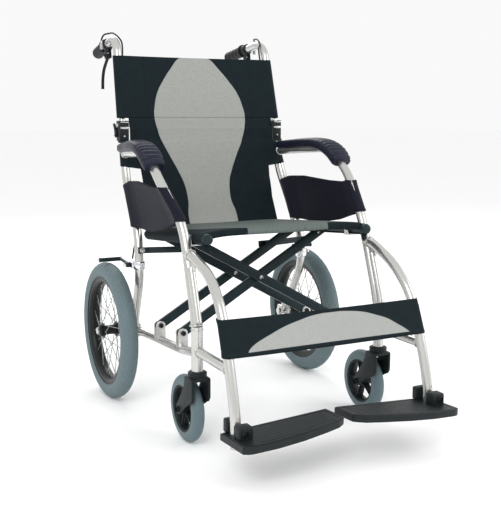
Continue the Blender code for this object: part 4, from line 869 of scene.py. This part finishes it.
mount_along = 0.096
mount = on_handle(turning("brake_lever_mount_right_clamp",
                          [(0.0113, -0.0098), (0.0142, -0.0098), (0.0150, -0.0086), (0.0150, 0.0086),
                           (0.0142, 0.0098), (0.0113, 0.0098)], (0, 0, 0),
                          "Z", 36), mount_along)
lever_at = corner_at + back * mount_along + Vector((0, back.z, -back.y)).normalized() * 0.030
for low, high in ((-0.0075, -0.0050), (0.0050, 0.0075)):
    cheek = block("cheek", (low, -0.0095, -0.0070), (high, 0.0095, 0.0185), 0.0009)
    cheek.data.transform(Matrix.Translation(spot(*lever_at)) @ Matrix.Rotation(-handle_drop, 4, "X"))
    gathered(mount, cheek)
gathered(mount, capscrew("screw", spot(*(lever_at + Vector((0.0075, 0, 0)))), (-1, 0, 0), 0.0040, 0.0016,
                         20, 0.5))
both(mount, caster_black, "upper_back_right", "black_plastic", "brake_lever_mount_right")
barrel = turning("cable_adjuster_right",
                 [(0.0004, -0.0120), (0.0036, -0.0120), (0.0046, -0.0110), (0.0046, 0.0015),
                  (0.0036, 0.0025), (0.0036, 0.0105), (0.0028, 0.0120), (0.0004, 0.0120)], (0, 0, 0),
                 "Z", 24)
barrel.data.transform(Matrix.Translation(spot(*(corner_at + back * 0.0835 + Vector((0.0195, 0, -0.004))))))
both(barrel, speckled("adjuster_grey", (0.42, 0.43, 0.43), 0.35, metal=0.8, vary=0.1), "upper_back_right",
     "bright_steel")

lever_path = [(0.0, -0.002), (0.013, -0.014), (0.027, -0.025), (0.040, -0.039), (0.048, -0.056),
              (0.051, -0.073), (0.052, -0.088)]
lever = bent_tube("brake_lever_right_blade", [spot(lever_at.x, lever_at.y + y, lever_at.z + z)
                                              for y, z in lever_path], 0.0042, 8, 6)
eye = bent_tube("eye", [spot(lever_at.x - 0.0042, lever_at.y, lever_at.z),
                        spot(lever_at.x + 0.0042, lever_at.y, lever_at.z)],
                0.0064, 6, 0)
gathered(lever, eye)
both(lever, grip_black, "brake_lever_right", "black_plastic", "brake_lever_right")

top = Vector((0, -back.z, back.y)).normalized()
middle = (corner_at - bend_at).normalized()
clear = TUBE + 0.0022
out = Vector((1, 0, 0))
route = [corner_at + back * 0.0835 + out * 0.0195 - top * 0.006,
         corner_at + back * 0.0820 + out * 0.0195 + top * 0.008,
         corner_at + back * 0.0720 + out * 0.0140 + top * 0.0200,
         corner_at + back * 0.0560 + out * 0.0040 + top * 0.0205,
         bend_at + (top * 2 + middle).normalized() * (0.0535 + clear) - out * 0.002,
         bend_at + middle * (0.049 + clear) - out * 0.009,
         bend_at + (middle * 2 - back).normalized() * 0.052 - out * (clear + 0.0025),
         corner_at - rise * 0.070 + Vector((0, 0.008, 0)) - out * (clear - 0.0005)]
for drop in (0.095, 0.130, 0.160):
    route.append(corner_at - rise * drop + Vector((0, clear + 0.0030, 0)))
route.append(hinge_at + rise * 0.050 + Vector((0, clear + 0.0040, 0)))
cable = bent_tube("brake_cable_upper_right_sheath", [spot(*p) for p in route], 0.0022, 6, 5)
cable_black = speckled("cable_sheath", (0.007, 0.008, 0.009), 0.42, vary=0.15, size=300)
both(cable, cable_black, "upper_back_right", "cable_black", "brake_cable_upper_right")
route = [(0.2245, 0.0775, 0.6400), (0.2250, 0.0640, 0.6050), (0.2270, 0.0560, 0.5850),
         (0.2280, 0.0480, 0.5650), (0.2290, 0.0370, 0.5450), (0.2300, 0.0030, 0.4950),
         (0.2305, -0.0240, 0.4500), (0.2330, -0.0480, 0.4100), (0.2385, -0.0540, 0.3900),
         (0.2450, -0.0600, 0.3660)]
cable = bent_tube("brake_cable_lower_right_sheath", [spot(*p) for p in route], 0.0022, 6, 5)
both(cable, cable_black, "right_frame", "cable_black", "brake_cable_lower_right")

# ------------------------------------------------------------------ side panels
# Navy coated cloth skirt guards, sewn into a sleeve round each pair of uprights, with
# bound edges above and below.
def stitched(name, colour, rough, weave=520.0):
    """Woven cloth: fine crossed threads over a gently varied colour."""
    made = speckled(name, colour, rough, vary=0.14, size=45, shine=0.08, laid=True)
    shader = made.node_tree.nodes["Principled BSDF"]
    where = made.node_tree.nodes["place"].outputs["UV"]
    threads = [wired(made, "TexWave", ("Vector", where), ("Scale", weave), ("Distortion", 0.6),
                     bands_direction=way)
               for way in ("X", "Y")]
    crossed = wired(made, "Math", (0, threads[0].outputs["Fac"]), (1, threads[1].outputs["Fac"]),
                    operation="MULTIPLY")
    relief = wired(made, "Bump", ("Height", crossed.outputs[0]), ("Strength", 0.35), ("Distance", 0.0005),
                   name="weave")
    made.node_tree.links.new(relief.outputs["Normal"], shader.inputs["Normal"])
    shader.inputs["Sheen Weight"].default_value = 0.02
    return made


navy_cloth = stitched("navy_coated_cloth", (0.008, 0.009, 0.017), 0.56)


def cloth(name, rows, thick=0.0012, lay=(0, 2)):
    """A sheet laid through rows of points, with its wall, and its weave laid out in metres."""
    bpy.ops.object.select_all(action="DESELECT")
    across, down = len(rows[0]), len(rows)
    bpy.ops.mesh.primitive_grid_add(x_subdivisions=across - 1, y_subdivisions=down - 1, size=2)
    made = bpy.context.object
    made.name = name
    for k, vert in enumerate(made.data.vertices):
        vert.co = rows[k // across][k % across]
    for loop, laid_at in zip(made.data.loops, made.data.uv_layers[0].data):
        spot_here = made.data.vertices[loop.vertex_index].co
        laid_at.uv = (spot_here[lay[0]], spot_here[lay[1]])
    bpy.ops.object.shade_smooth_by_angle(angle=math.radians(60))
    wall = made.modifiers.new("wall", "SOLIDIFY")
    wall.thickness = thick
    wall.offset = 0.0
    return made


def between(stops, t):
    """Value at t on straight lines between (t, value) stops."""
    if t <= stops[0][0]:
        return stops[0][1]
    for (a, b), (c, d) in zip(stops, stops[1:]):
        if t <= c:
            return b + (d - b) * (t - a) / (c - a)
    return stops[-1][1]


BACK_EDGE = ((0.2293, 0.006, 0.540), (0.2298, -0.0115, 0.515), (0.230, -0.031, 0.485),
             (0.2302, -0.052, 0.448))
FORE_EDGE = ((0.2515, -0.290, 0.562), (0.246, -0.311, 0.541), (0.240, -0.337, 0.516),
             (0.2365, -0.357, 0.494))
crest = ((-0.056, -0.002), (0.0, 0.008), (0.10, 0.017), (0.30, 0.016), (0.5, 0.009), (0.70, 0.002),
         (0.90, -0.002), (1.0, 0.002), (1.056, 0.0))
droop = ((-0.056, 0.0), (0.0, -0.002), (0.10, -0.006), (0.30, -0.016), (0.5, -0.020), (0.70, -0.018),
         (0.90, -0.008), (1.0, -0.002), (1.056, 0.0))
rows = []
for j in range(19):
    v = j / 18 * 3
    i = min(int(v), 2)
    rear = Vector(BACK_EDGE[i]).lerp(Vector(BACK_EDGE[i + 1]), v - i)
    fore = Vector(FORE_EDGE[i]).lerp(Vector(FORE_EDGE[i + 1]), v - i)
    run = fore - rear
    length = run.length
    ahead = run.normalized()
    loop = []
    for k in range(97):
        s = k / 96
        if s < 0.42:
            u, face = s / 0.42, 1
        elif s < 0.5:
            u, face = 1.0, (s - 0.42) / 0.08
        elif s < 0.92:
            u, face = 1 - (s - 0.5) / 0.42, -1
        else:
            u, face = 0.0, (s - 0.92) / 0.08
        wrap = 0.0130
        if s < 0.42 or 0.5 <= s < 0.92:
            near = min(u, 1 - u) * length
            wide = 0.0022 + (wrap - 0.0022) * max(0.0, 1 - near / 0.050) ** 1.5
            out_x, along = wide * face, u
        elif s < 0.5:
            turn = math.pi * face
            out_x, along = wrap * math.cos(turn), 1 + wrap * math.sin(turn) / length
        else:
            turn = math.pi * face
            out_x, along = -wrap * math.cos(turn), -wrap * math.sin(turn) / length
        place = rear + run * along
        edge = j / 18
        lift = between(crest, along) * (1 - edge) ** 2 + between(droop, along) * edge ** 2
        ripple = 0.0012 * math.sin(along * 7 + edge * 3) * (1 if 0.1 < along < 0.9 else 0)
        bound = 0.0007 if (edge < 0.09 or edge > 0.91) else 0.0
        loop.append(spot(place.x + out_x + ripple * (out_x / wrap + 0.5) + bound * (1 if out_x > 0 else -1),
                         place.y, place.z + lift))
    rows.append(loop)
panel = cloth("side_panel_right_cloth", rows, 0.0014, (1, 2))
for piece in both(panel, navy_cloth, "right_frame", "navy_foam", "side_panel_right"):
    word = "left" if "left" in piece.name else "right"

# ------------------------------------------------------------------ calf strap
# Doubled nylon band sewn into a sleeve round each leg tube, with a grey woven half-moon
# let into the front and bound edges.
def inlaid(name, outline, along, low, high, plain, inlay, weave, floor_line=None):
    """Cloth with a woven inlay whose edge follows an outline of (place along, reach) points."""
    made = stitched(name, plain, 0.62)
    nodes, links = made.node_tree.nodes, made.node_tree.links
    shader = nodes["Principled BSDF"]
    where = nodes["place"].outputs["UV"]
    split = wired(made, "SeparateXYZ", ("Vector", where))
    ruler = wired(made, "MapRange", ("Value", split.outputs[along]), ("From Min", low), ("From Max", high))
    line = wired(made, "FloatCurve", ("Value", ruler.outputs["Result"]))
    curve = line.mapping.curves[0]
    bottom, top = min(v for _, v in outline), max(v for _, v in outline)
    stops = [((a - low) / (high - low), (v - bottom) / (top - bottom)) for a, v in outline]
    curve.points[0].location = stops[0]
    curve.points[1].location = stops[-1]
    for a, v in stops[1:-1]:
        curve.points.new(a, v)
    line.mapping.update()
    reach = wired(made, "MapRange", ("Value", line.outputs["Value"]), ("To Min", bottom), ("To Max", top))
    if floor_line is None:
        source = wired(made, "Math", (0, split.outputs["X"]), operation="ABSOLUTE").outputs[0]
    else:
        source = split.outputs["Y"]
    inside = wired(made, "Math", (0, reach.outputs["Result"]), (1, source), operation="SUBTRACT").outputs[0]
    if floor_line is not None:
        above = wired(made, "Math", (0, split.outputs["Y"]), (1, floor_line),
                      operation="SUBTRACT").outputs[0]
        inside = wired(made, "Math", (0, inside), (1, above), operation="MINIMUM").outputs[0]
    mask = wired(made, "MapRange", ("Value", inside), ("From Min", 0.0),
                 ("From Max", 0.0008)).outputs["Result"]
    cells = wired(made, "TexVoronoi", ("Vector", where), ("Scale", weave))
    holes = wired(made, "ValToRGB", ("Fac", cells.outputs["Distance"]))
    for stop, position, factor in zip(holes.color_ramp.elements, (0.10, 0.38), (0.55, 1.0)):
        stop.position = position
        stop.color = [c * factor for c in inlay] + [1]
    mix = wired(made, "Mix", (0, mask), (6, nodes["tone"].outputs["Color"]), (7, holes.outputs["Color"]),
                data_type="RGBA")
    links.new(mix.outputs[2], shader.inputs["Base Color"])
    bind = wired(made, "MapRange", ("Value", inside), ("From Min", -0.0065), ("From Max", -0.0050))
    raised = wired(made, "Math", (0, bind.outputs["Result"]), (1, mask), operation="SUBTRACT")
    step = wired(made, "Bump", ("Height", raised.outputs[0]), ("Strength", 0.9), ("Distance", 0.0012),
                 ("Normal", nodes["weave"].outputs["Normal"]))
    links.new(step.outputs["Normal"], shader.inputs["Normal"])
    return made


def leg_at(z):
    """Centre of the leg tube at a height."""
    for (x0, y0, z0), (x1, y1, z1) in zip(LEG, LEG[1:]):
        if z1 <= z <= z0:
            t = (z0 - z) / (z0 - z1)
            return x0 + (x1 - x0) * t, y0 + (y1 - y0) * t
    return LEG[-1][:2]


rows = []
for j in range(25):
    z = 0.3174 + (0.2442 - 0.3174) * j / 24
    x, y = leg_at(z)
    edge = min(j, 24 - j) / 24
    grow = 0.0122 + (0.0006 if edge < 0.10 else 0.0)
    loop = []
    for k in range(12):
        turn = math.pi * (0.42 - k / 12)
        loop.append((x + grow * math.cos(turn), y + grow * math.sin(turn)))
    front = y - grow
    ring = [(px, py) for px, py in loop if py > front - 0.001]
    span = [(x - 0.004) * (1 - 2 * k / 100) for k in range(101)]
    line = [spot(px, py, z) for px, py in ring]
    for px in span:
        bow = 0.0030 * (1 - (px / x) ** 2) * math.sin(math.pi * j / 24)
        line.append(spot(px, front + bow, z - 0.0015 * (1 - (px / x) ** 2)))
    line += [Vector((-p.x, p.y, p.z)) for p in [spot(px, py, z) for px, py in reversed(ring)]]
    rows.append(line)
strap = cloth("calf_strap_cloth", rows, 0.0016)
strap_finish = inlaid("calf_strap_cloth_finish",
                      ((-0.196, 0.2512), (-0.185, 0.262), (-0.143, 0.279), (-0.068, 0.3006),
                       (-0.005, 0.3095), (0.057, 0.308), (0.131, 0.292), (0.179, 0.2685), (0.204, 0.2512)),
                      "X", -0.196, 0.204, (0.007, 0.013, 0.016), (0.35, 0.36, 0.345), 620, floor_line=0.251)
dress(strap, strap_finish, "right_frame", "black_nylon", "calf_strap")
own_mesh(strap)

# ------------------------------------------------------------------ back sling
# Black nylon with an hourglass of grey spacer mesh let into it.  It is sewn into a sleeve
# round each back tube, is cut away round the hinge blocks and hangs on down the rear
# uprights.
mesh_curve = ((0.430, 0.0705), (0.463, 0.0705), (0.498, 0.0635), (0.523, 0.064), (0.5425, 0.067),
              (0.573, 0.078), (0.6175, 0.0995), (0.662, 0.121), (0.684, 0.128), (0.724, 0.134),
              (0.748, 0.130), (0.775, 0.122), (0.815, 0.098), (0.850, 0.070), (0.872, 0.050),
              (0.880, 0.030))
back_finish = inlaid("back_cloth", mesh_curve, "Y", 0.430, 0.880, (0.006, 0.012, 0.015),
                     (0.315, 0.325, 0.305), 420)


def back_tube(z):
    """Centre of the back tube or the rear upright at a height."""
    if z > 0.690:
        return 0.2245 - 0.0309 * (z - 0.697), 0.0585 + (z - 0.697) * 0.2438
    for (x0, y0, z0), (x1, y1, z1) in zip(REAR, REAR[1:]):
        if z1 <= z <= z0:
            t = (z0 - z) / (z0 - z1)
            return x0 + (x1 - x0) * t, y0 + (y1 - y0) * t
    return 0.2245, 0.0550


rows = []
grow = TUBE + 0.0014
for j in range(41):
    z = 0.877 + (0.7162 - 0.877) * j / 40
    x, y = back_tube(z)
    half_line = []
    for k in range(9):
        px = 0.156 + (x - 0.004 - 0.156) * k / 8
        t = (px - 0.156) / (x - 0.156)
        front = y - grow + 0.0095 * (1 - (px / x) ** 2) / (1 - (0.156 / x) ** 2) * (1 - t)
        half_line.append((px, front + (2 * grow - 0.010) * t ** 0.8 + 0.0030))
    for k in range(1, 12):
        turn = math.pi / 2 - math.pi * k / 12
        half_line.append((x + grow * math.cos(turn), y + grow * math.sin(turn)))
    for k in range(61):
        px = x * (1 - k / 60)
        across_way = px / x
        dish = 0.0200 * (1 - across_way ** 2)
        edge = 0.0012 if abs(px - 0.1555) < 0.0030 else 0.0
        half_line.append((px, y - grow + dish + edge))
    line = [spot(px, py, z) for px, py in half_line]
    line += [Vector((-p.x, p.y, p.z)) for p in reversed(line[:-1])]
    rows.append(line)
upper = cloth("back_sling_upper_cloth", rows, 0.0016)
dress(upper, back_finish, "upper_back_right", "black_nylon", "back_sling_upper")
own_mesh(upper)

EDGE = ((0.430, 0.1860), (0.560, 0.1860), (0.586, 0.1880), (0.594, 0.2390), (0.646, 0.2375),
        (0.653, 0.2085), (0.714, 0.2085), (0.716, 0.2085))
rows = []
heights = ([0.716 - 0.003 * k for k in range(22)] + [0.6515, 0.6500, 0.6480, 0.6460]
           + [0.6430 - 0.003 * k for k in range(17)])
heights += [0.5935, 0.5915, 0.5890, 0.5860, 0.5830] + [0.579 - 0.005 * k for k in range(30)] + [0.430]
for z in heights:
    x, y = back_tube(z)
    cad_y = between(((0.44, -0.030), (0.50, 0.0), (0.56, 0.024), (0.62, 0.041), (0.68, 0.054),
                     (0.716, 0.0615)), z)
    reach = between(EDGE, z)
    wraps = reach > 0.225
    front = y - grow
    side_depth = front + (max(front, cad_y - 0.006) - front) * between(((0.50, 1.0), (0.59, 0.0)), z)
    middle_depth = between(((0.430, cad_y + 0.0085), (0.660, cad_y + 0.0085), (0.716, front + 0.0200)), z)
    half_line = []
    for k in range(8):
        turn = math.pi * 0.45 - math.pi * 0.95 * k / 8
        if wraps:
            half_line.append((x + grow * math.cos(turn), y + grow * math.sin(turn)))
        else:
            half_line.append((reach - 0.00008 * k, 0.0))
    limit = x if wraps else reach
    for k in range(61):
        px = limit * (1 - k / 60)
        half_line.append((px, 0.0))
    fixed = []
    for k, (px, py) in enumerate(half_line):
        if wraps and k < 8:
            fixed.append((px, py))
            continue
        t = min(1.0, px / x)
        depth = side_depth + (middle_depth - side_depth) * (1 - t ** 2)
        fixed.append((px, depth))
    line = [spot(px, py, z) for px, py in fixed]
    line += [Vector((-p.x, p.y, p.z)) for p in reversed(line[:-1])]
    rows.append(line)
lower = cloth("back_sling_lower_cloth", rows, 0.0016)
dress(lower, back_finish, "right_frame", "black_nylon", "back_sling_lower")
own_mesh(lower)

# ------------------------------------------------------------------ seat sling
# Nylon sling round both seat rails with a mesh inlay that widens towards the back, and a
# hem turned down along the front edge.
seat_curve = ((0.0, 0.176), (0.2, 0.184), (0.45, 0.186), (0.65, 0.183), (0.80, 0.165), (0.92, 0.128),
              (1.0, 0.104))
seat_low, seat_high = folded(0, 0.150, 0.22).y, folded(0, -0.195, 0.22).y
seat_curve = [(seat_high + (seat_low - seat_high) * a, v) for a, v in seat_curve]
seat_finish = inlaid("seat_cloth", sorted(seat_curve), "Y", seat_low, seat_high, (0.006, 0.012, 0.015),
                     (0.115, 0.140, 0.132), 420)
rows = []
stations = [-0.195 + 0.345 * k / 46 for k in range(47)]
lines = [(f, 0.0) for f in stations] + [(0.1528, 0.0007), (0.1545, 0.0025), (0.1552, 0.0055),
                                        (0.1552, 0.0100), (0.1546, 0.0145)]
for forward, drop in lines:
    half_line = []
    for k in range(10):
        turn = math.radians(-125 + 215 * k / 9)
        half_line.append((SEAT_RAIL_X + (TUBE + 0.0014) * math.cos(turn),
                          SEAT_RAIL_UP + (TUBE + 0.0014) * math.sin(turn)))
    for k in range(1, 51):
        px = SEAT_RAIL_X * (1 - k / 50)
        half_line.append((px, SEAT_RAIL_UP + TUBE + 0.0014 + 0.0095 * (1 - (px / SEAT_RAIL_X) ** 6) - 0.0035
                          * (1 - (px / SEAT_RAIL_X) ** 2)))
    line = [folded(-px, forward, up - drop * min(1.0, max(0.0, (0.212 - px) / 0.006)))
            for px, up in half_line]
    line += [Vector((-p.x, p.y, p.z)) for p in reversed(line[:-1])]
    rows.append(line)
seat = cloth("seat_sling_cloth", rows, 0.0018, (0, 1))
seat.data.materials.append(seat_finish)
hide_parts("seat_sling")
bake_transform(seat)

# ------------------------------------------------------------------ studio
# Plain pale floor in plain white surroundings under soft lamps, and the camera.
bpy.ops.object.select_all(action="DESELECT")
bpy.ops.mesh.primitive_plane_add(size=60, location=(0, 10, 0))
floor = bpy.context.object
floor.name = "studio_floor"
bpy.ops.object.transform_apply(location=True)
paper = speckled("studio_paper", (0.985, 0.985, 0.985), 0.9, vary=0.004, size=2)
floor.data.materials.append(paper)
floor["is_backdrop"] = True
world = bpy.data.worlds.new("studio_air")
bpy.context.scene.world = world
world.use_nodes = True
world.node_tree.nodes["Background"].inputs["Color"].default_value = (1, 1, 1, 1)
world.node_tree.nodes["Background"].inputs["Strength"].default_value = 0.95
for name, place, aim, size, power in (("key", (-2.2, -2.6, 2.6), (0, 0, 0.4), 1.6, 60),
                                      ("fill", (2.6, -1.6, 1.8), (0, 0, 0.4), 2.2, 30),
                                      ("back", (0.5, 2.8, 2.4), (0, 0, 0.5), 2.0, 40)):
    lamp = bpy.data.lights.new(name, "AREA")
    lamp.energy = power
    lamp.size = size
    holder = bpy.data.objects.new(name, lamp)
    bpy.context.collection.objects.link(holder)
    holder.location = place
    holder.rotation_euler = (Vector(aim) - Vector(place)).to_track_quat("-Z", "Y").to_euler()
lens = bpy.data.cameras.new("camera")
lens.lens = 62.35
lens.sensor_width = 36
lens.shift_x = 0.0271
lens.shift_y = -0.0189
camera = bpy.data.objects.new("camera", lens)
bpy.context.collection.objects.link(camera)
camera.location = (-0.9719, axle_y - 2.1277, 0.7225)
camera.rotation_euler = (math.radians(90 - 8.3), 0, math.radians(-26.25))
bpy.context.scene.camera = camera
bpy.context.scene.view_settings.view_transform = "Standard"

low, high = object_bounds()
